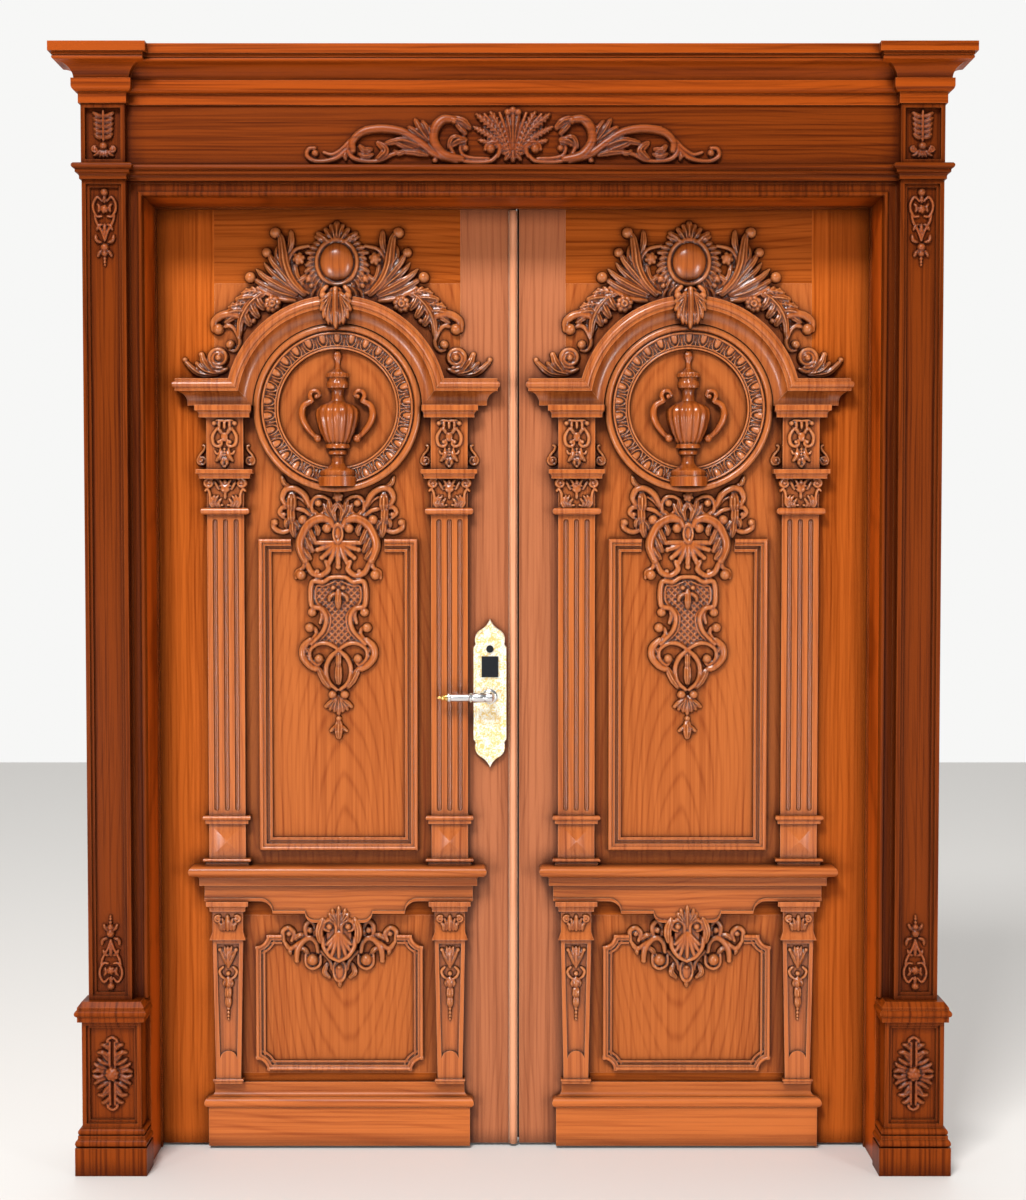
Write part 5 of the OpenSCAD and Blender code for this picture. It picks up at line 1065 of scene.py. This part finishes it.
cartouche = mirrored([
    leaf(3, (-20, 10), (-24, 3), (-24, -3)), stem(3, (-33, -3), (-34, 7), (-29, 13), (-24.5, 8), (-25, 2)),
    ball(-29, 4, 3.6, lift=0.8), stem(2.8, (-56, -8), (-57, 2), (-51.5, 6), (-46, 1), (-48, -7)),
    ball(-51, 0, 3), stem(2.8, (-55, -9), (-50, -15), (-44, -12), (-36, -5)),
    leaf(2.6, (-51, -13), (-50, -17), (-49, -21)), leaf(3, (-46, -6), (-41, -2), (-35, -1)),
    stem(3.4, (-43, -27), (-42, -16), (-36, -7), (-29, -4), (-23, -9), (-21.5, -18), lift=0.6),
    leaf(3, (-40, -14), (-35, -16), (-31, -21)), ball(-27, -26, 6.2, lift=0.6),
    stem(2.2, (-34, -21), (-33, -31), (-27, -35), (-20, -31), (-19, -22), lift=0.8),
    stem(2.4, (-20, -16), (-14, -22), (-9, -29), (-8, -36)), leaf(3.2, (-13, -31), (-15, -39), (-9, -45)),
    ball(-43, -27, 3),
]) + [
    oval(0, -37, 6.2, 10.6, 1.8, lift=1.4), dome(0, -37, 4.6, 9, lift=1.4), spine(2.6, -45, -50, -54),
    ball(0, -33, 2.6, lift=2.6),
]
print("cartouche strokes:", len(cartouche), "and palmette strokes:", len(palmette))

# %% [markdown]
# ## Frieze
#
# A spray of leaves with long scrolls runs along the frieze. Fronds make the spray, because their notched
# edges and veins show it as acanthus where plain leaves would not.

# %% Frieze carving
frieze = [
    frond(6, (-4, -17), (-11, 2), (-22, 22)), frond(5.6, (-5, -17), (-17, 4), (-36, 20)),
    frond(4.6, (-6, -16), (-21, -2), (-39, 8)), frond(4, (-7, -16), (-20, -9), (-34, -5)),
    leaf(3.6, (-1, -15), (-3, 5), (-6, 22)), mass(8, (-4, -12), (-14, 2), (-22, 10)),
    ball(-5, 22, 3.8, lift=0.8), stem(2, (-2, -15), (-7, 4), (-13, 21), lift=1.6),
    stem(1.8, (-4, -15), (-14, 3), (-28, 20), lift=1.6), leaf(3, (-1, -14), (-6, -18), (-11, -17)),
    leaf(3, (-1, -15), (-5, -21), (-8, -25)),
    stem(2.8, (-15, -21), (-13, -13), (-18, -7.5), (-25, -9), (-27, -14), lift=0.6),
    ball(-22, -13.5, 4.8, lift=0.8),
    stem(2.8, (-15, -19), (-23, -26), (-42, -27), (-56, -22), (-63, -9), lift=0.4),
    leaf(4.2, (-63, -12), (-59, -4), (-50, -3)), leaf(4.6, (-61, -10), (-55, -6), (-46, -5)),
    stem(2.4, (-24, -23), (-38, -23), (-49, -20), (-52, -12), (-47, -8)), ball(-47, -13, 3.4, lift=0.6),
    stem(5.4, (-51, -24), (-68, -20), (-78, -7), (-77, 6), (-69, 15), (-59, 15), lift=0.4),
    leaf(4.6, (-60, 16), (-50, 13), (-42, 6)), leaf(3.6, (-56, 12), (-51, 6), (-46, 1)),
    ball(-58, 14, 3.8, lift=1.6), leaf(3, (-54, 8), (-49, 3), (-48, -1)),
    stem(4.6, (-56, -26), (-76, -19), (-94, -6), (-110, 3), (-130, 6), (-148, 3), (-158, -6), (-158, -15),
         lift=0.4),
    stem(1.4, (-80, -14), (-96, -2), (-112, 6), (-130, 8.5), (-146, 7), lift=2.6),
    stem(2.8, (-161, -6), (-163, -15), (-157, -23), (-144, -26), (-131, -25), (-119, -19), (-105, -17)),
    leaf(4.6, (-133, -8), (-126, -16), (-135, -25)), leaf(3.6, (-140, -14), (-147, -15), (-152, -10)),
    leaf(3.2, (-139, -19), (-146, -21), (-153, -18)), leaf(4, (-80, -9), (-90, 3), (-97, 16)),
    leaf(4, (-84, -6), (-95, 2), (-104, 8)), leaf(3.8, (-80, -6), (-84, 4), (-90, 14)),
    leaf(3.4, (-79, -4), (-81, 4), (-83, 9)), leaf(4.4, (-88, -13), (-108, -6), (-128, -9)),
    leaf(3.8, (-94, -15), (-107, -11), (-122, -4)), leaf(3.8, (-110, -16), (-98, -17), (-82, -20)),
    ball(-77, -25, 3.2), leaf(3.2, (-104, -14), (-112, -18), (-118, -15)),
    stem(2.2, (-160, -4), (-168, -13), (-178, -19), (-187, -17)),
    stem(2.8, (-162, -12), (-175, -23), (-193, -26), (-203, -21), (-202, -14), (-196, -13)),
    ball(-195.5, -18, 3.6, lift=0.6), leaf(2.6, (-164, -16), (-166, -20), (-165, -25)),
]
frieze = mirrored(frieze) + [
    spine(3.6, -16, 6, 24, lift=0.6), ball(0, 24, 3.6, lift=1.2), spine(3.2, -14, -20, -27),
]
print("frieze strokes:", len(frieze))

# %% [markdown]
# ## Small carvings
#
# The columns, the herms and the casing carry small carvings that repeat. Each is drawn once and placed
# several times, and the rosette is drawn as a quarter.

# %% Columns, herms and casing
console = mirrored([
    stem(1.9, (-8, 14), (-11.7, 7), (-10.5, -0.5), (-6, -2.8), (-2.8, -0.3), (-3.6, 3), lift=0.4),
    ball(-5.6, 1.4, 2, lift=0.8), leaf(2.2, (-3, 10), (-5, 13.5), (-8.5, 15.5)),
    ball(-10, 20, 2.5, lift=0.6), stem(1.5, (0, 22.5), (-8, 23)),
    leaf(1.9, (-5, 22), (-5.2, 18.5), (-4.6, 15)), stem(1.5, (-4, -5), (-5, -9.5), (-8, -10), (-9.5, -7.5)),
    leaf(2.5, (-2.5, -8), (-5, -13.5), (-8.5, -18)), leaf(2.1, (-1, -14), (-2.4, -18.5), (-1.6, -22.5)),
]) + [
    dome(0, 6.5, 3.6, 4.8, lift=0.4), spine(1.9, 22, 18.5, 14.5), ball(0, -5.5, 1.4, lift=0.8),
    ball(0, -8.5, 1.4, lift=0.8), ball(0, -11.5, 1.4, lift=0.8), ball(0, -23, 1.9),
]
console_side = mirrored(volute(-23.5, -16.5, 5, 1.5, 150, 1.5) + [
    stem(1.6, (-23, -1.5), (-20.8, -2.5), (-22, -6.5), (-25.5, -10.5), (-27.6, -14), lift=0.4),
])
capital = mirrored(volute(-16, 10, 5, 1.5, 50, 1.5) + [
    stem(1.5, (-19.5, 2.5), (-17.8, 4.2), (-15.6, 1), (-14.8, -4), (-15, -10), (-13, -14), lift=0.4),
    leaf(2, (-11, -14), (-13, -8), (-10, -1.5)), leaf(1.9, (-8, -14), (-10, -8), (-6.5, -2)),
    leaf(1.8, (-5.5, -14), (-6.5, -9.5), (-3.4, -5)), leaf(1.7, (-10.5, 12), (-8.5, 8), (-6, 3)),
    leaf(1.8, (-2.5, 8), (-4, 11), (-6, 14)), ball(-3, -12, 1.6), stem(1.3, (0, 7.4), (-5, 7.4), lift=0.6),
]) + [dome(0, 4.2, 4.6, 3.8, lift=0.8), spine(1.8, 2, -2, -6), spine(2, 8, 11, 14)]
herm_drop = mirrored([
    leaf(2.6, (0, -23), (-4, -14), (-8, -6)), leaf(2.4, (0, -23), (-2, -12), (-3.5, -3)),
    ball(-8, -6.5, 2.2), stem(1.8, (-5, -24), (-8.5, -28), (-7, -33), (-3, -36)),
    leaf(2, (-2, -36), (-4, -40), (-3, -44)),
]) + [
    spine(2.8, -24, -14, -3), ball(0, -30.5, 2.6), spine(3.2, -35, -40, -45), spine(4, -45, -50, -55),
    spine(3.6, -54, -59, -64), ball(0, -66, 1.9), ball(0, -70, 1.7), ball(0, -73.6, 1.5),
    ball(0, -76.8, 1.3),
]
herm_capital = mirrored([
    *volute(-9.5, 3, 3.7, 1.15, 50, 1.4), leaf(2.2, (-6, -8), (-6.5, -3), (-9, -1.5)),
    leaf(1.9, (-3.4, -8), (-3.8, -1), (-5.4, 4)),
]) + [spine(2.8, -8, 0, 7)]
quarter = [
    stem(1.7, (-2.6, 7), (-2.8, 18), (-2.4, 31)), stem(1.7, (-5, 31), (-4, 34), (0, 36.5)),
    leaf(2.4, (-3, 24), (-7, 28), (-11, 29)), leaf(2.6, (-3, 17), (-9, 21), (-15, 21)),
    leaf(2.2, (-3, 12), (-7, 17), (-10, 24)), leaf(2.4, (-5, 9), (-10, 11.5), (-15, 15)),
    leaf(2.4, (-7, 5), (-13, 7), (-18.5, 10.5)), leaf(2.6, (-7, 1), (-14, 3.5), (-20, 1.5)),
]
rosette = mirrored(quarter + flipped(quarter)) + flower(0, 0, 6.6, 8)
drop = mirrored([
    stem(1.6, (-2.5, -13), (-7, -9), (-11, -15), (-11, -22), (-7.5, -28), (-3, -28)),
    leaf(1.8, (-7, -16), (-5, -19), (-6, -24)), stem(1.6, (-10, -27), (-8, -34), (-3, -43), (0, -52)),
    leaf(2, (-9, -47), (-8, -52), (-3, -54)), leaf(2, (-2, -62), (-5, -64), (-7, -68)),
    leaf(1.8, (-3, -36), (-6, -38), (-8, -42)),
]) + [
    ball(0, -4.5, 4), spine(2, -7, -11, -15), ball(0, -59, 4.2), ball(0, -65, 3.4), ball(0, -70, 1.9),
    ball(0, -73.4, 1.6), ball(0, -76.2, 1.3), spine(2, -36, -42, -48),
] + flower(0, -21, 4)
acanthus = []
for k in range(5):
    v = 24 - 6.5 * k
    acanthus.append(leaf(3.2, (-1.5, v - 2), (-7, v - 1), (-13 + 0.5 * k, v + 3)))
acanthus += [
    *volute(-11, -19, 4.3, 1.3, 80, 1.5), leaf(2.4, (-4, -20), (-8, -25), (-13, -27)),
    leaf(2.2, (-2, -20), (-3, -25), (-5, -29)),
]
acanthus = mirrored(acanthus) + [
    stem(1.7, (0, 29), (0, 12), (0, -8), lift=1.2), ball(0, -15, 5.2), spine(2.2, -20, -25, -29),
]
print("console strokes:", len(console), "and drop strokes:", len(drop))

# %% [markdown]
# ## Ornament in place
#
# The left leaf's carvings are built first and the right leaf gets their mirror image.

# %% Carvings on the leaves
GRID = 2.3 * MM
CELL = 1.7 * MM
KEYSTONE_SUNK = 4 * MM
KEYSTONE_BACK = 30 * MM
PALMETTE_OUT = 17 * MM
PALMETTE_BACK = 18 * MM
# Carvings of a column and its herm: strokes, then in mm the distance off the leaf's face and the height
# of the point that the strokes are counted from.
COLUMN_CARVINGS = (
    (console, 22, 1628),
    (console_side, 0, 1628),
    (capital, 17, 1515),
    (herm_drop, 14, 478),
    (herm_capital, 20, 529),
)


def relief(strokes, unit, x, y, z, back=BACK, cell=CELL):
    """Carving on a face: the point its strokes are counted from at x, z and its ground at y."""
    us, vs, field = height_map(strokes, unit, cell)
    return placed(solid_from_map("relief", us, vs, field, back), x, y, z)


def pair(name, ending, mesh):
    """A carved piece on the left leaf and its mirror image on the right one."""
    return [
        piece(side + name + ending, m, leaf_carved, side + "leaf", [side + name])
        for side, m in (("left_", mesh), ("right_", mirrored_copy(mesh)))]


leaf_carvings = {
    "crest": [relief(crest, GRID, axis_x, face_y, ring_z),
              relief(keystone, GRID, axis_x, arch_front + KEYSTONE_SUNK, ring_z, KEYSTONE_BACK)],
    "pendant": [relief(pendant, GRID, axis_x, face_y, upper_top)],
    "cartouche": [relief(cartouche, GRID, axis_x, face_y, lower_top),
                  relief(palmette, GRID, axis_x, face_y - PALMETTE_OUT, lower_top, PALMETTE_BACK)],
    "column_carvings": [
        relief(strokes, GRID, axis_x + offset, face_y - out * MM, z * MM)
        for offset in (-column_x, column_x)
        for strokes, out, z in COLUMN_CARVINGS],
}
for name, meshes in leaf_carvings.items():
    pair(name, "_carved", joined("left_" + name + "_carved", meshes))

# %% [markdown]
# ## Casing carvings
#
# The casing has a frieze, drops in its pilasters, acanthus leaves on its blocks and rosettes on its plinths.
# The left side is built and mirrored, and the lower drops are the upper ones turned upside down.

# %% Carvings on the casing
FRIEZE_GRID = 2.22 * MM
DROP_GRID = 2.2 * MM
ROSETTE_GRID = 2.25 * MM
ACANTHUS_GRID = 1.75 * MM
FINE_CELL = 1.5 * MM
FRIEZE_Z = 2296 * MM
DROP_Z = 2180 * MM
LOW_DROP_Z = 404 * MM
ROSETTE_X = -890.5 * MM
ROSETTE_Z = 223 * MM
pilaster_front = wall_y - 30 * MM
plinth_front = wall_y - 48 * MM
block_front = wall_y - 34 * MM
mesh = relief(frieze, FRIEZE_GRID, 0, frieze_low[1], FRIEZE_Z)
piece("frieze_carved", mesh, frame_carved, "frame", ["frieze_carving"])
left_side = joined("frame_carved", [
    relief(drop, DROP_GRID, -pilaster_x, pilaster_front, DROP_Z, cell=FINE_CELL),
    relief(flipped(drop), DROP_GRID, -pilaster_x, pilaster_front, LOW_DROP_Z, cell=FINE_CELL),
    relief(rosette, ROSETTE_GRID, ROSETTE_X, plinth_front, ROSETTE_Z),
    relief(acanthus, ACANTHUS_GRID, -pilaster_x, block_front, FRIEZE_Z, cell=FINE_CELL)])
mesh = joined("frame_carved", [left_side, mirrored_copy(left_side)])
piece("frame_carved", mesh, frame_carved, "frame", ["frame_carvings"])

# %% [markdown]
# ## Urns
#
# A lobed urn with two handles stands in each roundel as a half relief. It could be a height map too, but
# its side swells far out from the ground, so it is turned and its back half pressed flat.

# %% Urns
# The urn is drawn in rows counted downwards to its foot. Its height of 311 mm has 136 of them.
ROW = 311 / 136 * MM
FOOT_ROW = 489.5
URN_ANGLE = 38
URN_SIDES = 96
URN_FLAT = 0.03
HANDLE_OUT = 13 * MM
urn_foot = span("left_urn")[0][2]
URN_PROFILE = [
    (20.7, 489.5), (20.7, 480), (18.5, 479.5), (18.5, 474.5), (17, 473), (12, 471), (8, 468), (6.5, 465),
    (6.5, 459.5), (9.5, 457.5), (10, 455.5), (9.5, 453.5), (8, 452.5), (12.6, 451.5), (13, 449.5),
    (12.6, 447.5), (11.5, 446.5), (14.5, 443), (17.6, 437), (20, 430), (21.8, 423), (22.6, 417),
    (21.6, 412.5), (18, 409), (11, 406), (7.5, 404), (6.5, 401), (6.5, 395), (8, 392.5), (10.6, 391.2),
    (11.2, 388), (10.6, 385), (9.5, 384), (9.5, 381.5), (11.5, 380.5), (11.8, 378.5), (11, 376.5), (7, 375),
    (3.6, 372), (3, 368), (3.2, 364.5), (4.8, 361.5), (5, 358.5), (3.4, 355), (0.8, 353.4)]
URN_HANDLE = [
    (-20, 401), (-17.5, 398.5), (-19, 395.2), (-22.5, 394.2), (-26, 396), (-27, 400), (-25, 404.5),
    (-27.5, 405.5), (-33, 409), (-35.2, 416), (-33.5, 424), (-28, 433), (-21.5, 440)]
# Lobed parts of the urn: first and last row, least radius, swell, half the count of lobes, sharpness.
URN_LOBES = (
    (408, 446.8, 0.88, 0.13, 8, 0.7),
    (384.5, 391.5, 0.94, 0.07, 12, 1),
    (376, 381, 0.92, 0.09, 9, 1),
    (353.5, 363, 0.88, 0.12, 4, 1),
)
# Balls beside the urn: rows from its axis, mm off the face, rows above its foot and radius in rows.
URN_BALLS = ((19.4, 12, 48, 4.2), (20.5, 14, 89.5, 2.6))


def gadroons(z, angle):
    row = FOOT_ROW - z / ROW
    for first, last, least, swell, lobes, sharpness in URN_LOBES:
        if first < row < last:
            return least + swell * abs(math.cos(lobes * angle)) ** sharpness
    return 1.0


def urn_handle(sign):
    path = spline(np.array([(sign * u, FOOT_ROW - row) for u, row in URN_HANDLE]) * ROW, 3 * MM)
    t = np.linspace(0, 1, len(path))
    radii = np.interp(t, [0, 0.3, 0.6, 0.85, 1], [2.0, 2.5, 3.7, 3.3, 2.4]) * ROW
    return tube([(u, -HANDLE_OUT, v) for u, v in path], radii)


def sphere(x, y, z, r):
    turns = [math.pi * k / 12 for k in range(1, 12)]
    return placed(lathe([(r * math.sin(a), -r * math.cos(a)) for a in turns], 20), x, y, z)


profile = [(r * ROW, (FOOT_ROW - row) * ROW) for r, row in URN_PROFILE]
urn_parts = [lathe(profile, URN_SIDES, gadroons, flat=URN_FLAT)]
for sign in (-1, 1):
    urn_parts.append(urn_handle(sign))
    for across, out, up, r in URN_BALLS:
        urn_parts.append(sphere(sign * across * ROW, -out * MM, up * ROW, r * ROW))
mesh = placed(joined("left_urn_turned", urn_parts), axis_x, face_y, urn_foot)
for o in pair("urn", "_turned", mesh):
    smooth_by_angle(o, URN_ANGLE)

# %% [markdown]
# ## Roundel rings
#
# A ring with beads and a row of eggs and darts frames each urn. A row of copied eggs would leave seams. The
# ring is a height map in radius and angle, so the eggs grow out of its ground.

# %% Roundel rings with egg and dart
EGGS = 30
EGG_STEPS = 20
RING_INNER = 134
RING_OUTER = 193.6
RING_STEP = 1.05
CHANNEL = (144.5, 168)
EGG_GROUND = -2.4


def bead(mm, middle, half, foot, rise):
    """Rounded bead on a turned profile, zero outside its width."""
    return np.where(np.abs(mm - middle) <= half, foot + rise * arc((mm - middle) / half), 0)


def egg_and_dart():
    """Closed ring from a height map in radius and angle."""
    radii = np.arange(RING_INNER, RING_OUTER, RING_STEP) * MM
    angle = np.linspace(0, 2 * math.pi, EGGS * EGG_STEPS, endpoint=False)
    r, a = np.meshgrid(radii, angle)
    mm = r / MM
    slope = np.interp(mm, [134, 144, 168, 176, 193], [6.5, 8.5, 15, 15, 9])
    turned = np.maximum.reduce([bead(mm, 137, 3, 7, 4), bead(mm, 142.5, 1.6, 8.5, 2),
                                bead(mm, 171.5, 3, 15.5, 3), bead(mm, 184, 8, 14.5, 9)])
    step = 2 * math.pi / EGGS
    local = (a / step % 1 - 0.5) * step * mm
    shape = np.hypot(local / 7.2, np.clip(163 - mm, 0, None) / 13)
    egg = 3.8 * arc(shape) + EGG_GROUND * (shape > 1)
    shell = 4.6 * ridge(shape, 1.5, 0.17) + EGG_GROUND
    dart = 4.6 * ridge(np.abs(local), step * mm / 2, 1.7) * np.clip((161 - mm) / 9, 0, 1) + EGG_GROUND
    carved = np.maximum.reduce([egg, shell, dart])
    channel = (mm > CHANNEL[0]) & (mm < CHANNEL[1])
    h = np.where(channel, slope + carved, np.maximum(slope, turned))
    n, m = r.shape
    front = np.stack([r * np.cos(a), -h * MM, r * np.sin(a)], -1)
    rear = front[:, [0, -1]].copy()
    rear[..., 1] = 1.0 * MM
    verts = np.vstack([front.reshape(-1, 3), rear.reshape(-1, 3)])
    faces = []
    for i in range(n):
        j = (i + 1) % n
        for k in range(m - 1):
            faces.append((i * m + k, i * m + k + 1, j * m + k + 1, j * m + k))
        bi, bj = n * m + 2 * i, n * m + 2 * j
        faces.append((i * m, j * m, bj, bi))
        faces.append((i * m + m - 1, bi + 1, bj + 1, j * m + m - 1))
        faces.append((bi, bj, bj + 1, bi + 1))
    mesh = solid("egg_and_dart", verts, faces)
    cavity = np.clip((h - blurred(h, 3)) * MM / CAVITY_DEPTH, -1, 1).ravel()
    mark_cavity(mesh, np.concatenate([cavity, np.zeros(2 * n)]))
    return mesh


pair("roundel", "_ring", placed(egg_and_dart(), axis_x, face_y, ring_z))

# %% [markdown]
# ## Lock
#
# The pale gilt plates keep the CAD's width and height and gain a moulded rim. A bevel can't make a rim
# with a groove beside it, so the plate is a height map over the distance from its outline.

# %% Lock plates
PLATE_TOP = [(0, 171), (3, 165), (9, 156), (17, 149), (25, 144), (32, 135), (34.5, 124), (33, 113)]
PLATE_SIDE = [(37.8, 106), (37.8, 0)]
PLATE_CELL = 0.9 * MM
PLATE_MAP = (42 * MM, 176 * MM)
PLATE_HEIGHT = 10.5
CURL_PITCH = 14.0
CURL_OUT = 9.5


def lock_plate():
    """Gilt plate with a moulded rim and rows of small curls."""
    half = np.vstack([spline(np.array(PLATE_TOP), 1.5), PLATE_SIDE])
    right = np.vstack([half, np.flipud(half[:-1]) * (1, -1)])
    path = np.vstack([right, np.flipud(right)[1:-1] * (-1, 1)]) * MM
    us, vs = [np.arange(-half_size, half_size, PLATE_CELL) for half_size in PLATE_MAP]
    u, v = np.meshgrid(us, vs)
    inside, d = outline_distance(path, u, v)
    mm = d / MM
    h = PLATE_HEIGHT + 2.6 * arc((mm - 2.8) / 2.6) - 1.4 * ridge(mm, 6.6, 0.9) + 0.9 * ridge(mm, 8.4, 0.8)
    curls = np.zeros(u.shape)
    for k in range(-12, 13):
        for side in (-1, 1):
            du, dv = u / MM - side * CURL_OUT, v / MM - CURL_PITCH * k - 5 * side
            r = np.hypot(du, dv)
            turn = np.arctan2(dv, du) * side
            curls += ridge(r, 2.2 + 0.75 * turn, 0.75) * (r < 7.5)
    h += np.where(mm > 11, 1.1 * np.clip(curls, 0, 1), 0)
    return solid_from_map("lock_plate", us, vs, np.where(inside, h * MM, -d * WALL), back=0.5 * MM)


plate_low, plate_high = span("front_escutcheon")
lever_low, lever_high = span("front_lever")
leaf_mid = (face_y + span("back_escutcheon")[0][1]) / 2
plate_x = (plate_low[0] + plate_high[0]) / 2
plate_z = (plate_low[2] + plate_high[2]) / 2
mesh = placed(lock_plate(), plate_x, face_y, plate_z)
twin = turned_over(mesh, leaf_mid)
piece("front_plate_gilt", mesh, gilt, "left_leaf", ["front_escutcheon"])
piece("back_plate_gilt", twin, gilt, "left_leaf", ["back_escutcheon"])

# %% [markdown]
# ## Levers
#
# Each lever is a turned grip on a round rose, with a gilt finial at its end. It could be a tube along a
# curve, but its collars and necks are a turner's work, so it is made on the lathe.

# %% Levers
GRIP_R = 12.5 * MM
GRIP_SCALE = 1.32
PLATE_FRONT = 14 * MM
LEVER_ANGLE = 40
GRIP = [
    (2, -9.2), (6.5, -8.6), (8.8, -6), (9, -2), (9, 8), (7.6, 11), (8.6, 13), (8.9, 24), (8.6, 36), (7.2, 41),
    (8.4, 43), (8.4, 46), (6.9, 48), (7.3, 70), (7.0, 88), (8.5, 90), (8.8, 92.5), (8.5, 95), (6, 96)]
FINIAL = [
    (5.2, 95.5), (6.8, 98), (6.8, 100.5), (4.2, 103), (5.6, 106), (5.2, 109), (3.0, 112), (3.4, 114.5),
    (2.2, 118), (0.8, 121)]
lever_z = (lever_low[2] + lever_high[2]) / 2
grip_y = lever_low[1] + GRIP_R
neck = face_y - PLATE_FRONT - grip_y
ROSE = [(17, -0.2), (17, 2), (14.5, 4), (12, 5), (11, 8), (9, 12), (8.4, 20), (8.6, neck / MM)]


def facets(z, angle):
    return 0.95 + 0.05 * abs(math.cos(4 * angle))


def in_metres(profile, scale=1.0):
    return [(scale * r * MM, z * MM) for r, z in profile]


grip = lathe(in_metres(GRIP, GRIP_SCALE), 32, facets, axis="-X")
rose = lathe(in_metres(ROSE), 40, axis="-Y")
tip = placed(lathe(in_metres(FINIAL, GRIP_SCALE), 32, axis="-X"), plate_x, grip_y, lever_z)
lever = joined("front_lever_turned", [
    placed(grip, plate_x, grip_y, lever_z), placed(rose, plate_x, face_y - PLATE_FRONT, lever_z)])
for name, m, material, slot_name, replaced in (
        ("_lever", lever, steel, "steel", ["_lever"]), ("_finial", tip, gold, "plate_gold", [])):
    for side, shown in (("front", m), ("back", turned_over(m, leaf_mid))):
        covered = [side + node_name for node_name in replaced]
        o = piece(side + name + "_turned", shown, material, "levers", covered)
        smooth_by_angle(o, LEVER_ANGLE)

# %% [markdown]
# ## Stage
#
# A pale floor, a light box high on the left, two weak ones low on either side, and a sky that grows
# brighter behind the door. A single lamp would leave hard shadows in the carving, and a plain even sky
# would leave it flat.

# %% Floor, lights and camera
FLOOR_COLOUR = (0.76, 0.735, 0.705, 1)
SKY_COLOUR = (1, 1, 0.99, 1)
SENSOR = 36.0
LENS = 1783 / 1026 * SENSOR
CAMERA_AWAY = 4.1
CAMERA_HEIGHT = 1.424
CAMERA_TILT = 2.15
bpy.ops.mesh.primitive_plane_add(size=14, location=(0, 0, -0.0005))
floor = bpy.context.object
floor.name = "Floor"
plain, _, shader = new_material("Pale floor", FLOOR_COLOUR)
feed(shader["Base Color"], FLOOR_COLOUR)
feed(shader["Roughness"], 0.55)
floor.data.materials.append(plain)


def light_box(name, place, aim, width, height, power):
    data = bpy.data.lights.new(name, "AREA")
    data.shape = "RECTANGLE"
    data.size = width
    data.size_y = height
    data.energy = power
    o = bpy.data.objects.new(name, data)
    o.location = place
    o.rotation_euler = (Vector(aim) - Vector(place)).to_track_quat("-Z", "Y").to_euler()
    bpy.context.scene.collection.objects.link(o)


light_box("Key", (-1.6, -4.8, 6.6), (0, 0.1, 1.0), 1.9, 1.6, 555)
light_box("Fill", (3.0, -3.4, 1.0), (0, 0.1, 0.9), 0.8, 1.4, 62)
light_box("Low", (-2.7, -3.4, 0.6), (0, 0.1, 0.4), 0.8, 0.8, 52)

scene = bpy.context.scene
scene.world = bpy.data.worlds.new("Studio")
scene.world.use_nodes = True
sky = scene.world.node_tree
_, y, z = split(node(sky, "ShaderNodeTexCoord", {}, "Generated"))
toward = y + z.maths("MAXIMUM", 0.0) * 0.4
ramp = {"Value": toward, "From Min": -0.05, "From Max": 0.65, "To Min": 0.26, "To Max": 0.93}
strength = node(sky, "ShaderNodeMapRange", ramp, "Result", interpolation_type="SMOOTHSTEP")
feed(sky.nodes["Background"].inputs["Strength"], strength)
feed(sky.nodes["Background"].inputs["Color"], SKY_COLOUR)

camera_data = bpy.data.cameras.new("Camera")
camera = bpy.data.objects.new("Camera", camera_data)
scene.collection.objects.link(camera)
scene.camera = camera
camera_data.sensor_fit = "HORIZONTAL"
camera_data.sensor_width = SENSOR
camera_data.lens = LENS
camera.location = (0.0, face_y - CAMERA_AWAY, CAMERA_HEIGHT)
camera.rotation_euler = (math.radians(90 - CAMERA_TILT), 0, 0)
scene.view_settings.view_transform = "Standard"
print("camera at", tuple(round(c, 3) for c in camera.location))
